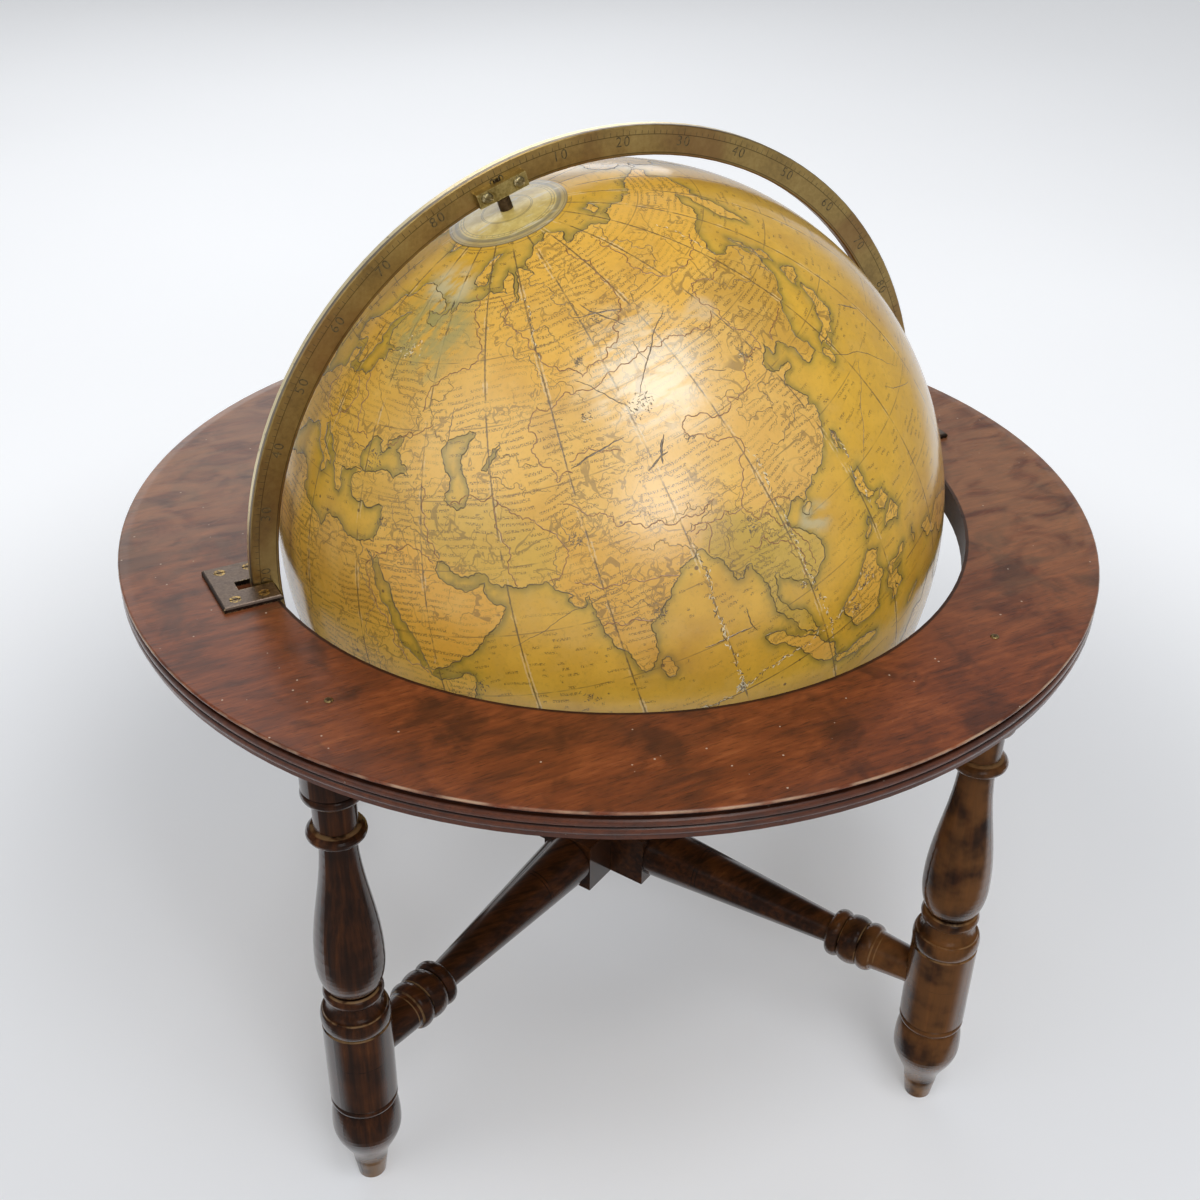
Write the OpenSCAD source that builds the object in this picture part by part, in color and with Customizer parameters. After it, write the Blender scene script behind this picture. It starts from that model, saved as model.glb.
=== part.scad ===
// A table globe: a papered ball that turns in a brass meridian ring, on a turned stand with four legs.
// Lengths are in millimetres and angles in degrees.
// The origin is on the floor under the middle of the ball, and +Z is up.
// The graduated front face of the meridian ring lies in the XZ plane, and so does the polar axis.

/* [Ball] */
// Radius of the ball over its printed paper
globe_r = 152.4; // [120:0.1:185]
// Thickness of the printed paper with its varnish
paper_t = 0.4; // [0.2:0.1:1]
// Thickness of the plaster coat
plaster_t = 2.5; // [1.5:0.1:5]
// Thickness of the papier-mache shells
shell_t = 4; // [2:0.5:8]
// Radius of the round paper cap at each pole
cap_r = 25; // [20:1:45]
// Thickness of the paper caps
cap_t = 0.25; // [0.15:0.05:0.5]
// Diameter of the wooden post between the poles
post_d = 26; // [18:1:40]
// Height of the north pole above the horizon, in degrees
pole_elevation = 71; // [45:1:90]

/* [Pole pins] */
// Diameter of a pin where it turns under its bracket
journal_d = 3.4; // [2.4:0.1:4.4]
// Diameter of a pin's thick part
pin_d = 5.5; // [4.5:0.1:8]
// Length of a pin inside the post
pin_depth = 28; // [15:1:50]

/* [Meridian ring] */
// Gap between the ball and the ring
meridian_gap = 5.9; // [4:0.1:10]
// Width of the ring across its graduated face
meridian_w = 12.4; // [10.2:0.1:18]
// Thickness of the ring
meridian_t = 5; // [4:0.1:7]
// Bevel on the ring's edges
meridian_bevel = 0.5; // [0.2:0.1:1]

/* [Pole brackets] */
// Length of a bracket along the ring
bracket_l = 22.5; // [18:0.5:32]
// Width of a bracket across the ring
bracket_w = 6; // [5:0.1:8]
// Thickness of a bracket
bracket_t = 4; // [3:0.1:6]
// Distance from the ring's inner edge to the bracket's inner edge
bracket_inset = 0.7; // [0:0.1:2]
// Distance from a bracket's end to its screw
bracket_screw_in = 3.9; // [3:0.1:5]
// Shank diameter of a bracket screw
bracket_screw_d = 2.2; // [1.6:0.1:3]
// Head diameter of a bracket screw
bracket_head_d = 5; // [4:0.1:6]
// Head height of a bracket screw
bracket_head_h = 1.3; // [0.8:0.1:2]

/* [Horizon ring] */
// Gap between the ball and the ring's inner edge
horizon_gap = 11.1; // [9:0.1:16]
// Width of the ring's flat top
horizon_w = 58.5; // [48:0.5:75]
// Thickness of the ring
horizon_t = 13.5; // [11:0.5:18]
// Height of the ball's middle above the ring's top
globe_rise = 3; // [0:0.5:6]
// Height of the worn nosing at the ring's top edge
nosing_h = 1.8; // [1:0.1:3]
// Height of the groove under the nosing
groove_h = 2.1; // [1:0.1:3]
// Depth of the groove under the nosing
groove_depth = 2.2; // [1:0.1:4]
// Height of each of the two reeds
reed_h = 3.6; // [2.4:0.1:4.5]
// Setback of the fillet under the reeds
fillet_setback = 1.4; // [0.5:0.1:3]

/* [Notch plates] */
// Length of a notch plate along the ring's radius
plate_l = 25.5; // [21:0.5:32]
// Width of a notch plate along the ring's edge
plate_w = 34.5; // [28:0.5:46]
// Thickness of a notch plate
plate_t = 2.4; // [1.5:0.1:4]
// Bevel round the top of a notch plate
plate_bevel = 0.9; // [0.3:0.1:1.4]
// Distance that a notch plate stands in past the wood's edge
plate_overhang = 2; // [0:0.1:3]
// Shift of a notch plate behind the middle of its slot
plate_shift = 1.75; // [0:0.25:3]
// Gap on each side of the meridian ring in its notch
notch_side_gap = 1; // [0.5:0.1:2]
// Gap between the meridian's rim and the end of its notch
notch_end_gap = 6.5; // [5:0.5:9]
// Shank diameter of a notch plate screw
plate_screw_d = 2.6; // [2:0.1:3.5]
// Head diameter of a notch plate screw
plate_head_d = 5; // [4.1:0.1:6]
// Length of a notch plate screw
plate_screw_l = 10; // [7:0.5:12]
// Distance from a plate's inner and outer edges to its screws
plate_screw_in_x = 6.5; // [4:0.5:8]
// Distance from a plate's side edges to its screws
plate_screw_in_y = 5.5; // [4:0.5:8]

/* [Legs] */
// Distance from the ring's outer edge to the axis of a leg
leg_inset = 28; // [20:1:36]
// Turn of the legs from the plane of the meridian ring
leg_turn = 28; // [20:1:70]
// Diameter of the foot where it stands
foot_d = 13; // [10:0.5:20]
// Diameter of the ankle over the foot
ankle_d = 15.8; // [12:0.2:22]
// Height of the ankle over the floor
ankle_z = 10; // [8:1:14]
// Diameter of the bulb
bulb_d = 31.8; // [26:0.2:39]
// Height of the bulb's widest place over the floor
bulb_z = 36.5; // [30:0.5:45]
// Height from the bulb's widest place to its top
bulb_top_h = 15; // [12:0.5:19]
// Diameter of the bulb's top and of the groove over it
bulb_neck_d = 26; // [21:0.5:32]
// Diameter of the block that holds the stretchers
block_d = 30.6; // [25:0.2:37]
// Height of the block from its lower bead to its shoulder
block_h = 46.5; // [38:0.5:58]
// Height of the bead at the foot of the block
block_bead_h = 4.5; // [3:0.5:6]
// Diameter of the shoulder over the block
shoulder_d = 31.2; // [26:0.2:38]
// Height of the shoulder
shoulder_h = 8.5; // [6.5:0.5:11]
// Diameter of the cove over the shoulder
cove_d = 21.2; // [17:0.2:26]
// Height of the cove
cove_h = 7; // [5:0.5:9.5]
// Diameter of the bead under the vase
bead_d = 26.8; // [22:0.2:33]
// Height of the bead under the vase
bead_h = 6.5; // [5:0.5:9]
// Diameter of the foot of the vase
vase_foot_d = 19.4; // [16:0.2:24]
// Diameter of the vase at its widest
vase_d = 30.2; // [25:0.2:37]
// Height from the foot of the vase to its widest place
vase_belly_h = 16.5; // [13:0.5:22]
// Diameter of the vase's neck under the ring bead
vase_neck_d = 15.8; // [13:0.2:20]
// Diameter of the ring bead over the vase
ring_bead_d = 25.2; // [21:0.2:32]
// Height of the ring bead
ring_bead_h = 6.5; // [5:0.5:9]
// Diameter of the leg's neck
neck_d = 18.2; // [15:0.2:22]
// Height of the leg's neck
neck_h = 15.5; // [12:0.5:19]
// Diameter of the collar at the top of a leg
collar_d = 25.2; // [21:0.2:32]
// Height of the collar under the ring
collar_h = 30; // [24:0.5:37]
// Height of the bead at the foot of the collar
collar_bead_h = 4.5; // [3:0.5:7]
// Diameter of the tenon into the ring
leg_tenon_d = 16; // [12:0.5:20]
// Height of the tenon into the ring
leg_tenon_h = 8; // [5:0.5:10]

/* [Stretchers] */
// Distance from the top of a leg's block down to the stretchers' axis
stretcher_drop = 24; // [19.5:0.5:30]
// Side of the square block at the crossing
cross_side = 29; // [24:0.5:36]
// Length of a crossing block from the middle to its end
cross_half_l = 34; // [28:1:42]
// Distance that a stretcher's round stands in from the sides of the crossing block
arm_margin = 0.3; // [0.1:0.1:2]
// Diameter of a stretcher next to the beads
arm_end_d = 14.6; // [12:0.2:18]
// Diameter of the middle one of the three beads
arm_bead_d = 24.6; // [20:0.2:30]
// Diameter of the two outer beads
arm_side_bead_d = 24; // [19.6:0.2:29]
// Length of the middle bead along the stretcher
arm_bead_l = 10; // [8:0.5:12.5]
// Length of each outer bead along the stretcher
arm_side_bead_l = 7; // [5.5:0.5:9]
// Diameter of the cone next to the beads
cone_d = 19.5; // [16:0.5:24]
// Diameter of the cone where it meets the leg
cone_end_d = 17; // [14:0.5:21]
// Length of the cone between the beads and the leg
cone_l = 17; // [13.5:0.5:21]
// Diameter of the tenon into a leg
arm_tenon_d = 11; // [8:0.5:14]
// Depth of the tenon in a leg
arm_tenon_l = 14; // [8:0.5:18]

/* [Meridian support] */
// Height of the seat for the meridian's rim over the crossing
seat_h = 12.5; // [10:0.5:16]
// Gap between the meridian's rim and its seat
seat_gap = 0.3; // [0.2:0.05:0.6]
// Gap on each side of the meridian ring in the support's slot
seat_side_gap = 0.6; // [0.4:0.1:1.2]
// Gap between a passing pole bracket and the support's cheeks
cheek_gap = 1.2; // [0.8:0.1:2]
// Distance from the support's foot to the sides of the crossing block
support_foot_margin = 0.5; // [0:0.1:3]
// Diameter of the support's waist
support_waist_d = 16; // [13:0.5:20]
// Diameter of the support's head
support_head_d = 22; // [18:0.5:27]
// Diameter of the tenon through the crossing
support_tenon_d = 10; // [7:0.5:12]

/* [Nails] */
// Distance from a leg's axis to its nail, towards the middle
nail_inset = 3; // [0:0.5:4]
// Diameter of a nail
nail_d = 1.8; // [1.2:0.1:2.6]
// Diameter of a nail's head
nail_head_d = 3.6; // [3:0.1:5]
// Height of a nail's head
nail_head_h = 0.6; // [0.4:0.1:1]
// Length of a nail under its head
nail_l = 22; // [14:1:30]

/* [Hidden] */
$fn = 96;
ball_fn = 160;

// Gap that stands for glue between two layers or in a wood joint
glue_gap = 0.05;
// Radial gap of a turning pin in its bearing
running_gap = 0.05;
// Play between a pin's shoulder and the meridian ring
end_play = 0.3;
// Width of a screw's slot
screw_slot_w = 0.8;
// Depth of a screw's slot
screw_slot_depth = 0.6;
// Turn of a bracket screw's slot
bracket_slot_turn = 35;
// Brass left under the end of a bracket screw
screw_end_cover = 1;
// Distance from a pin's end to the bracket's outer edge
pin_end_inset = 0.2;
// Height of the narrow fillet between two turned shapes
fillet_h = 0.5;
// Distance that a bead's foot stands in from the round beside it
bead_inset = 1;
// Distance that the cove's foot stands in from the shoulder
cove_lip = 1.5;
// Distance that the collar's bead stands out past the collar
collar_bead_out = 0.4;
// Distance that the foot of the first bead stands out past the arm
arm_bead_out = 2;
// Depth of the grooves between the beads of an arm
arm_groove_depth = 1.8;
// Height of the support's foot
support_foot_h = 3;
// Height of the support's head
support_head_h = 6;
// Chamfer round the top of the support's head
support_chamfer = 0.8;
// Distance from the support's tenon to the underside of the crossing
support_tenon_up = 2;
// Overrun of a cutting shape past the surface that it cuts
past = 1;

meridian_in_r = globe_r + meridian_gap;
meridian_out_r = meridian_in_r + meridian_w;
bracket_in_r = meridian_in_r + bracket_inset;
bracket_mid_r = bracket_in_r + bracket_w / 2;
bracket_out_r = bracket_in_r + bracket_w;
bracket_screw_x = bracket_l / 2 - bracket_screw_in;
bracket_screw_l = bracket_t + meridian_t - screw_end_cover;

bulb_top_z = bulb_z + bulb_top_h;
block_z0 = bulb_top_z + block_bead_h;
shoulder_z0 = block_z0 + block_h;
stretcher_z = shoulder_z0 - stretcher_drop;
cross_top_z = stretcher_z + cross_side / 2;
globe_z = cross_top_z + seat_h + seat_gap + meridian_out_r;
horizon_top_z = globe_z - globe_rise;
horizon_low_z = horizon_top_z - horizon_t;
horizon_in_r = globe_r + horizon_gap;
horizon_out_r = horizon_in_r + horizon_w;

plate_in_x = horizon_in_r - plate_overhang;
plate_out_x = plate_in_x + plate_l;
notch_y0 = -notch_side_gap;
notch_y1 = meridian_t + notch_side_gap;
notch_end_x = meridian_out_r + notch_end_gap;
plate_mid_y = meridian_t / 2 + plate_shift;

leg_circle_r = horizon_out_r - leg_inset;
cove_z0 = shoulder_z0 + shoulder_h;
bead_z0 = cove_z0 + cove_h;
vase_z0 = bead_z0 + bead_h;
vase_belly_z = vase_z0 + vase_belly_h;
collar_z0 = horizon_low_z - collar_h;
neck_z0 = collar_z0 - neck_h;
ring_bead_z0 = neck_z0 - ring_bead_h;

arm_d = cross_side - 2 * arm_margin;
beads_l = arm_bead_l + 2 * arm_side_bead_l;
bead_groove_r = arm_side_bead_d / 2 - arm_groove_depth;
cone_end_x = leg_circle_r - block_d / 2;
beads_x1 = cone_end_x - cone_l;
beads_x0 = beads_x1 - beads_l;

paper_in_r = globe_r - paper_t;
plaster_out_r = paper_in_r - glue_gap;
plaster_in_r = plaster_out_r - plaster_t;
shell_out_r = plaster_in_r - glue_gap;
shell_in_r = shell_out_r - shell_t;
post_half_l = sqrt(pow(shell_in_r, 2) - pow(post_d / 2, 2)) - glue_gap;
cap_in_r = globe_r + glue_gap;
cap_out_r = cap_in_r + cap_t;

// Outline points of turned work, each a radius and a height
function bead(z0, h, r, r_out) =
    [for (a = [0 : 18 : 180]) [r + (r_out - r) * sin(a), z0 + h * (1 - cos(a)) / 2]];
function ease(z0, z1, r0, r1) =
    [for (a = [0 : 15 : 180]) [r0 + (r1 - r0) * (1 - cos(a)) / 2, z0 + (z1 - z0) * a / 180]];
function rise(z0, z1, r0, r1) =
    [for (a = [0 : 9 : 90]) [r0 + (r1 - r0) * sin(a), z0 + (z1 - z0) * (1 - cos(a))]];
function fall(z0, z1, r0, r1) =
    [for (a = [0 : 9 : 90]) [r1 + (r0 - r1) * cos(a), z0 + (z1 - z0) * sin(a)]];

// Turns an outline round the Z axis, closed along the axis
module turned(points) {
    rotate_extrude() polygon(concat([[0, points[0][1]]], points, [[0, points[len(points) - 1][1]]]));
}

// Places children in the ball's frame, with +Z towards the north pole
module polar(pole = 0) {
    translate([0, 0, globe_z]) rotate([0, pole_elevation - 90 + pole, 0]) children();
}

module at_leg(turn) {
    rotate([0, 0, 180 + leg_turn + turn]) translate([leg_circle_r, 0, 0]) children();
}

module horizon_outline() {
    groove_z = horizon_top_z - nosing_h - groove_h;
    fillet_r = horizon_out_r - fillet_setback;
    groove_r = horizon_out_r - groove_depth;
    polygon(concat(
        [[horizon_in_r, horizon_top_z], [horizon_in_r, horizon_low_z], [fillet_r, horizon_low_z]],
        bead(groove_z - 2 * reed_h, reed_h, fillet_r, horizon_out_r),
        bead(groove_z - reed_h, reed_h, fillet_r, horizon_out_r),
        [[groove_r, groove_z], [groove_r, horizon_top_z - nosing_h]],
        bead(horizon_top_z - nosing_h, nosing_h, horizon_out_r - nosing_h / 2, horizon_out_r)));
}

module notch_cut(z0, z1) {
    translate([0, notch_y0, z0]) cube([notch_end_x, notch_y1 - notch_y0, z1 - z0]);
}

module at_plate_screws() {
    x0 = plate_in_x + plate_screw_in_x;
    x1 = plate_out_x - plate_screw_in_x;
    y0 = plate_mid_y - plate_w / 2 + plate_screw_in_y;
    y1 = plate_mid_y + plate_w / 2 - plate_screw_in_y;
    for (x = [x0, x1], y = [y0, y1]) translate([x, y, horizon_top_z + plate_t]) children();
}

// The south notch is at +X, and the north notch is the same one mirrored
module north() { mirror([1, 0, 0]) children(); }

module horizon_ring() {
    color("#7a3b22") difference() {
        rotate_extrude($fn = 180) horizon_outline();
        for (side = [0, 1]) mirror([side, 0, 0]) {
            notch_cut(horizon_low_z - past, horizon_top_z + past);
            at_plate_screws() translate([0, 0, -plate_screw_l - glue_gap])
                cylinder(d = plate_screw_d + 2 * glue_gap, h = plate_screw_l + past);
        }
        for (turn = [0 : 90 : 270]) at_leg(turn) {
            translate([0, 0, horizon_low_z - past])
                cylinder(d = leg_tenon_d + 2 * glue_gap, h = leg_tenon_h + glue_gap + past);
            translate([-nail_inset, 0, horizon_low_z])
                cylinder(d = nail_d + 2 * glue_gap, h = horizon_t + past);
        }
    }
}

module plate_side(half_w) {
    polygon([[-half_w, 0], [half_w, 0], [half_w, plate_t - plate_bevel], [half_w - plate_bevel, plate_t],
        [-half_w + plate_bevel, plate_t], [-half_w, plate_t - plate_bevel]]);
}

// A countersunk head with its flat top at height 0
module countersunk_head(d, shank) {
    head_h = (d - shank) / 2;
    translate([0, 0, -head_h]) cylinder(d1 = shank, d2 = d, h = head_h);
}

module notch_plate() {
    color("#5b5346") difference() {
        translate([plate_in_x + plate_l / 2, plate_mid_y, horizon_top_z]) intersection() {
            rotate([90, 0, 0]) linear_extrude(plate_w + 2 * past, center = true) plate_side(plate_l / 2);
            rotate([90, 0, 90]) linear_extrude(plate_l + 2 * past, center = true) plate_side(plate_w / 2);
        }
        notch_cut(horizon_top_z - past, horizon_top_z + plate_t + past);
        at_plate_screws() {
            translate([0, 0, -plate_t - past])
                cylinder(d = plate_screw_d + 2 * glue_gap, h = plate_t + 2 * past);
            countersunk_head(plate_head_d + 2 * glue_gap, plate_screw_d + 2 * glue_gap);
        }
    }
}

module notch_screws() {
    color("#8a7a52") at_plate_screws() difference() {
        union() {
            translate([0, 0, -plate_screw_l]) cylinder(d = plate_screw_d, h = plate_screw_l);
            countersunk_head(plate_head_d, plate_screw_d);
        }
        translate([-plate_head_d, -screw_slot_w / 2, -screw_slot_depth])
            cube([2 * plate_head_d, screw_slot_w, screw_slot_depth + past]);
    }
}

// The turned outline of a leg, from the foot up
function leg_outline() = concat(
    [[foot_d / 2, 0]],
    ease(ankle_z, bulb_z - fillet_h, ankle_d / 2, bulb_d / 2),
    fall(bulb_z, bulb_top_z, bulb_d / 2, bulb_neck_d / 2),
    bead(bulb_top_z, block_bead_h, bulb_neck_d / 2, block_d / 2),
    [[block_d / 2, block_z0 + fillet_h], [block_d / 2, shoulder_z0 - fillet_h]],
    bead(shoulder_z0, shoulder_h, block_d / 2 - bead_inset, shoulder_d / 2),
    rise(cove_z0 + fillet_h, bead_z0, shoulder_d / 2 - cove_lip, cove_d / 2),
    bead(bead_z0, bead_h, cove_d / 2, bead_d / 2),
    rise(vase_z0, vase_belly_z, vase_foot_d / 2, vase_d / 2),
    ease(vase_belly_z + fillet_h, ring_bead_z0, vase_d / 2, vase_neck_d / 2),
    bead(ring_bead_z0, ring_bead_h, vase_neck_d / 2, ring_bead_d / 2),
    [[neck_d / 2, neck_z0 + fillet_h], [neck_d / 2, collar_z0]],
    bead(collar_z0, collar_bead_h, collar_d / 2 - bead_inset, collar_d / 2 + collar_bead_out),
    [[collar_d / 2, collar_z0 + collar_bead_h + fillet_h], [collar_d / 2, horizon_low_z]]);

module leg(turn) {
    color("#3c2012") at_leg(turn) difference() {
        union() {
            turned(leg_outline());
            translate([0, 0, horizon_low_z - past]) cylinder(d = leg_tenon_d, h = leg_tenon_h + past);
        }
        translate([-block_d, 0, stretcher_z]) rotate([0, 90, 0])
            cylinder(d = arm_tenon_d + 2 * glue_gap, h = block_d / 2 + arm_tenon_l + glue_gap);
        translate([-nail_inset, 0, horizon_top_z - nail_l - glue_gap])
            cylinder(d = nail_d + 2 * glue_gap, h = nail_l);
    }
}

module leg_nails() {
    color("#6e6a60") for (turn = [0 : 90 : 270]) at_leg(turn) translate([-nail_inset, 0, horizon_top_z]) {
        translate([0, 0, -nail_l]) cylinder(d = nail_d, h = nail_l + nail_head_h / 2);
        translate([0, 0, glue_gap]) turned(fall(0, nail_head_h, nail_head_d / 2, nail_d / 4));
    }
}

// The turned outline of one stretcher arm, from the crossing block to the leg
function arm_outline() = concat(
    [[arm_d / 2, cross_half_l - past], [arm_d / 2, cross_half_l + fillet_h]],
    [[arm_end_d / 2, beads_x0 - fillet_h]],
    bead(beads_x0, arm_side_bead_l, arm_end_d / 2 + arm_bead_out, arm_side_bead_d / 2),
    bead(beads_x0 + arm_side_bead_l, arm_bead_l, bead_groove_r, arm_bead_d / 2),
    bead(beads_x1 - arm_side_bead_l, arm_side_bead_l, bead_groove_r, arm_side_bead_d / 2),
    [[cone_d / 2, beads_x1 + fillet_h], [cone_end_d / 2, cone_end_x]],
    [[cone_end_d / 2, leg_circle_r - block_d / 4]]);

module arm() {
    rotate([0, 90, 0]) difference() {
        turned(arm_outline());
        translate([0, 0, leg_circle_r]) rotate([0, 90, 0])
            cylinder(d = block_d + 2 * glue_gap, h = 2 * arm_bead_d, center = true);
    }
    translate([cone_end_x - past, 0, 0]) rotate([0, 90, 0])
        cylinder(d = arm_tenon_d, h = arm_tenon_l + past);
}

// half is 1 for the stretcher that keeps its lower half at the crossing, and -1 for the other
module stretcher(turn, half) {
    lap = cross_side + 2 * glue_gap;
    color("#2e1a10") rotate([0, 0, leg_turn + turn]) difference() {
        translate([0, 0, stretcher_z]) union() {
            for (side = [0, 180]) rotate([0, 0, side]) arm();
            cube([2 * cross_half_l, cross_side, cross_side], center = true);
        }
        translate([0, 0, stretcher_z + half * (cross_side - glue_gap) / 2])
            cube([lap, lap, cross_side], center = true);
        cylinder(d = support_tenon_d + 2 * glue_gap, h = globe_z);
    }
}

module meridian_support() {
    head_z = globe_z - bracket_out_r - cheek_gap;
    head_z0 = head_z - support_head_h;
    foot_z = cross_top_z + support_foot_h;
    waist_z = (foot_z + head_z0) / 2;
    foot_r = cross_side / 2 - support_foot_margin;
    head_r = support_head_d / 2;
    color("#3c2012") difference() {
        union() {
            turned(concat([[foot_r, cross_top_z + glue_gap]],
                ease(foot_z, waist_z, foot_r, support_waist_d / 2),
                ease(waist_z + fillet_h, head_z0, support_waist_d / 2, head_r),
                [[head_r, head_z - support_chamfer]],
                [[head_r - support_chamfer, head_z]]));
            translate([0, 0, cross_top_z - cross_side + support_tenon_up])
                cylinder(d = support_tenon_d, h = cross_side);
        }
        translate([0, -seat_side_gap, globe_z]) rotate([-90, 0, 0])
            cylinder(r = meridian_out_r + seat_gap, h = meridian_t + 2 * seat_side_gap, $fn = 180);
    }
}

module ring_outline() {
    b = meridian_bevel;
    polygon([[meridian_in_r + b, 0], [meridian_out_r - b, 0], [meridian_out_r, b],
        [meridian_out_r, meridian_t - b], [meridian_out_r - b, meridian_t],
        [meridian_in_r + b, meridian_t], [meridian_in_r, meridian_t - b], [meridian_in_r, b]]);
}

module pin_groove() {
    cylinder(d = journal_d + 2 * running_gap, h = bracket_out_r + past);
}

module at_bracket_screws() {
    for (side = [-1, 1]) translate([side * bracket_screw_x, -bracket_t, bracket_mid_r])
        rotate([-90, 0, 0]) children();
}

module meridian_ring() {
    color("#8a7440") difference() {
        translate([0, 0, globe_z]) rotate([-90, 0, 0]) rotate_extrude($fn = 180) ring_outline();
        for (pole = [0, 180]) polar(pole) {
            pin_groove();
            at_bracket_screws()
                cylinder(d = bracket_screw_d + 2 * glue_gap, h = bracket_screw_l + glue_gap);
        }
    }
}

module pole_bracket(pole) {
    color("#9a8650") polar(pole) difference() {
        translate([-bracket_l / 2, -bracket_t, bracket_in_r]) cube([bracket_l, bracket_t, bracket_w]);
        pin_groove();
        at_bracket_screws() translate([0, 0, -past])
            cylinder(d = bracket_screw_d + 2 * glue_gap, h = bracket_t + 2 * past);
    }
}

module bracket_screws(pole) {
    color("#b09a64") polar(pole) at_bracket_screws() difference() {
        union() {
            cylinder(d = bracket_screw_d, h = bracket_screw_l);
            translate([0, 0, -glue_gap]) mirror([0, 0, 1])
                turned(fall(0, bracket_head_h, bracket_head_d / 2, bracket_head_d / 4));
            translate([0, 0, -bracket_head_h / 2]) cylinder(d = bracket_screw_d, h = bracket_head_h);
        }
        translate([0, 0, -bracket_head_h]) rotate([0, 0, bracket_slot_turn])
            cube([2 * bracket_head_d, screw_slot_w, 2 * screw_slot_depth], center = true);
    }
}

module ball_layer(r_out, r_in) {
    difference() {
        sphere(r = r_out, $fn = ball_fn);
        sphere(r = r_in, $fn = ball_fn);
        cylinder(d = pin_d + 2 * glue_gap, h = 3 * globe_r, center = true);
    }
}

module globe_paper() { color("#d9a441") polar() ball_layer(globe_r, paper_in_r); }
module plaster_coat() { color("#e6dfcf") polar() ball_layer(plaster_out_r, plaster_in_r); }

module polar_cap(pole) {
    color("#b9ad72") polar(pole) intersection() {
        ball_layer(cap_out_r, cap_in_r);
        cylinder(r = cap_r, h = 2 * globe_r);
    }
}

module shell(pole) {
    color("#b49a78") polar(pole) difference() {
        ball_layer(shell_out_r, shell_in_r);
        translate([0, 0, glue_gap / 2 - globe_r]) cylinder(r = 2 * globe_r, h = 2 * globe_r, center = true);
    }
}

module axle_post() {
    color("#c49a63") polar() difference() {
        cylinder(d = post_d, h = 2 * post_half_l, center = true);
        for (end = [0, 180]) rotate([0, end, 0]) translate([0, 0, post_half_l - pin_depth - glue_gap])
            cylinder(d = pin_d + 2 * glue_gap, h = pin_depth + past);
    }
}

module pole_pin(pole) {
    color("#6b5a50") polar(pole) {
        translate([0, 0, post_half_l - pin_depth])
            cylinder(d = pin_d, h = meridian_in_r - end_play - post_half_l + pin_depth);
        translate([0, 0, globe_r]) cylinder(d = journal_d, h = bracket_out_r - pin_end_inset - globe_r);
    }
}

horizon_ring();
north() notch_plate();  // notch_plate_north
notch_plate();  // notch_plate_south
north() notch_screws();  // notch_screws_north
notch_screws();  // notch_screws_south
leg(0);  // leg_front_left
leg(90);  // leg_front_right
leg(180);  // leg_back_right
leg(270);  // leg_back_left
leg_nails();
stretcher(0, 1);  // stretcher_lower
stretcher(90, -1);  // stretcher_upper
meridian_support();
meridian_ring();
pole_bracket(0);  // pole_bracket_north
pole_bracket(180);  // pole_bracket_south
bracket_screws(0);  // bracket_screws_north
bracket_screws(180);  // bracket_screws_south
globe_paper();
polar_cap(0);  // polar_cap_north
polar_cap(180);  // polar_cap_south
plaster_coat();
shell(0);  // shell_north
shell(180);  // shell_south
axle_post();
pole_pin(0);  // pole_pin_north
pole_pin(180);  // pole_pin_south
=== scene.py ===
import bpy
import math
import numpy as np
from mathutils import Matrix, Vector
from mathutils.kdtree import KDTree


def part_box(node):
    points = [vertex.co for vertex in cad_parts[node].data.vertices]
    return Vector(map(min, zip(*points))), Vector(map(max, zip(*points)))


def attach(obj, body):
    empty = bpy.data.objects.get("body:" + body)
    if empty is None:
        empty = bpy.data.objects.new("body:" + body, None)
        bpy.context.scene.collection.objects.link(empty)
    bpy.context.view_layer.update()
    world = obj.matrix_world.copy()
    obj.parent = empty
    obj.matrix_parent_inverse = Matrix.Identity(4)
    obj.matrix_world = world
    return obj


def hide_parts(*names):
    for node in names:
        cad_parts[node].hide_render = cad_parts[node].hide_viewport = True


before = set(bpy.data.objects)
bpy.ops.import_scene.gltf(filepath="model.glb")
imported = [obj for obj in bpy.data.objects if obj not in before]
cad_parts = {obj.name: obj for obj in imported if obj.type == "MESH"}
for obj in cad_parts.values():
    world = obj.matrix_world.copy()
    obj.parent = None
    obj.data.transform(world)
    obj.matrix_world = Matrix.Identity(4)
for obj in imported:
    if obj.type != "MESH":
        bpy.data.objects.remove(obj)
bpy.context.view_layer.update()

mm = 0.001
paperLow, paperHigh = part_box("globe_paper")
centreZ = (paperLow.z + paperHigh.z) / 2
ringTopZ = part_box("horizon_ring")[1].z
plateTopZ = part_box("notch_plate_north")[1].z
mixNode, noiseNode, rampNode = "ShaderNodeMix", "ShaderNodeTexNoise", "ShaderNodeValToRGB"
rangeNode, vectorNode, moveNode = "ShaderNodeMapRange", "ShaderNodeVectorMath", "GeometryNodeTransform"
xyzNode, axesNode = "ShaderNodeCombineXYZ", "ShaderNodeSeparateXYZ"


def colour(hexText):
    # an sRGB hex value as the linear colour that a socket takes
    parts = [int(hexText[i:i + 2], 16) / 255 for i in (1, 3, 5)]
    return tuple(c / 12.92 if c <= 0.04045 else ((c + 0.055) / 1.055) ** 2.4 for c in parts) + (1.0,)


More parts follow.
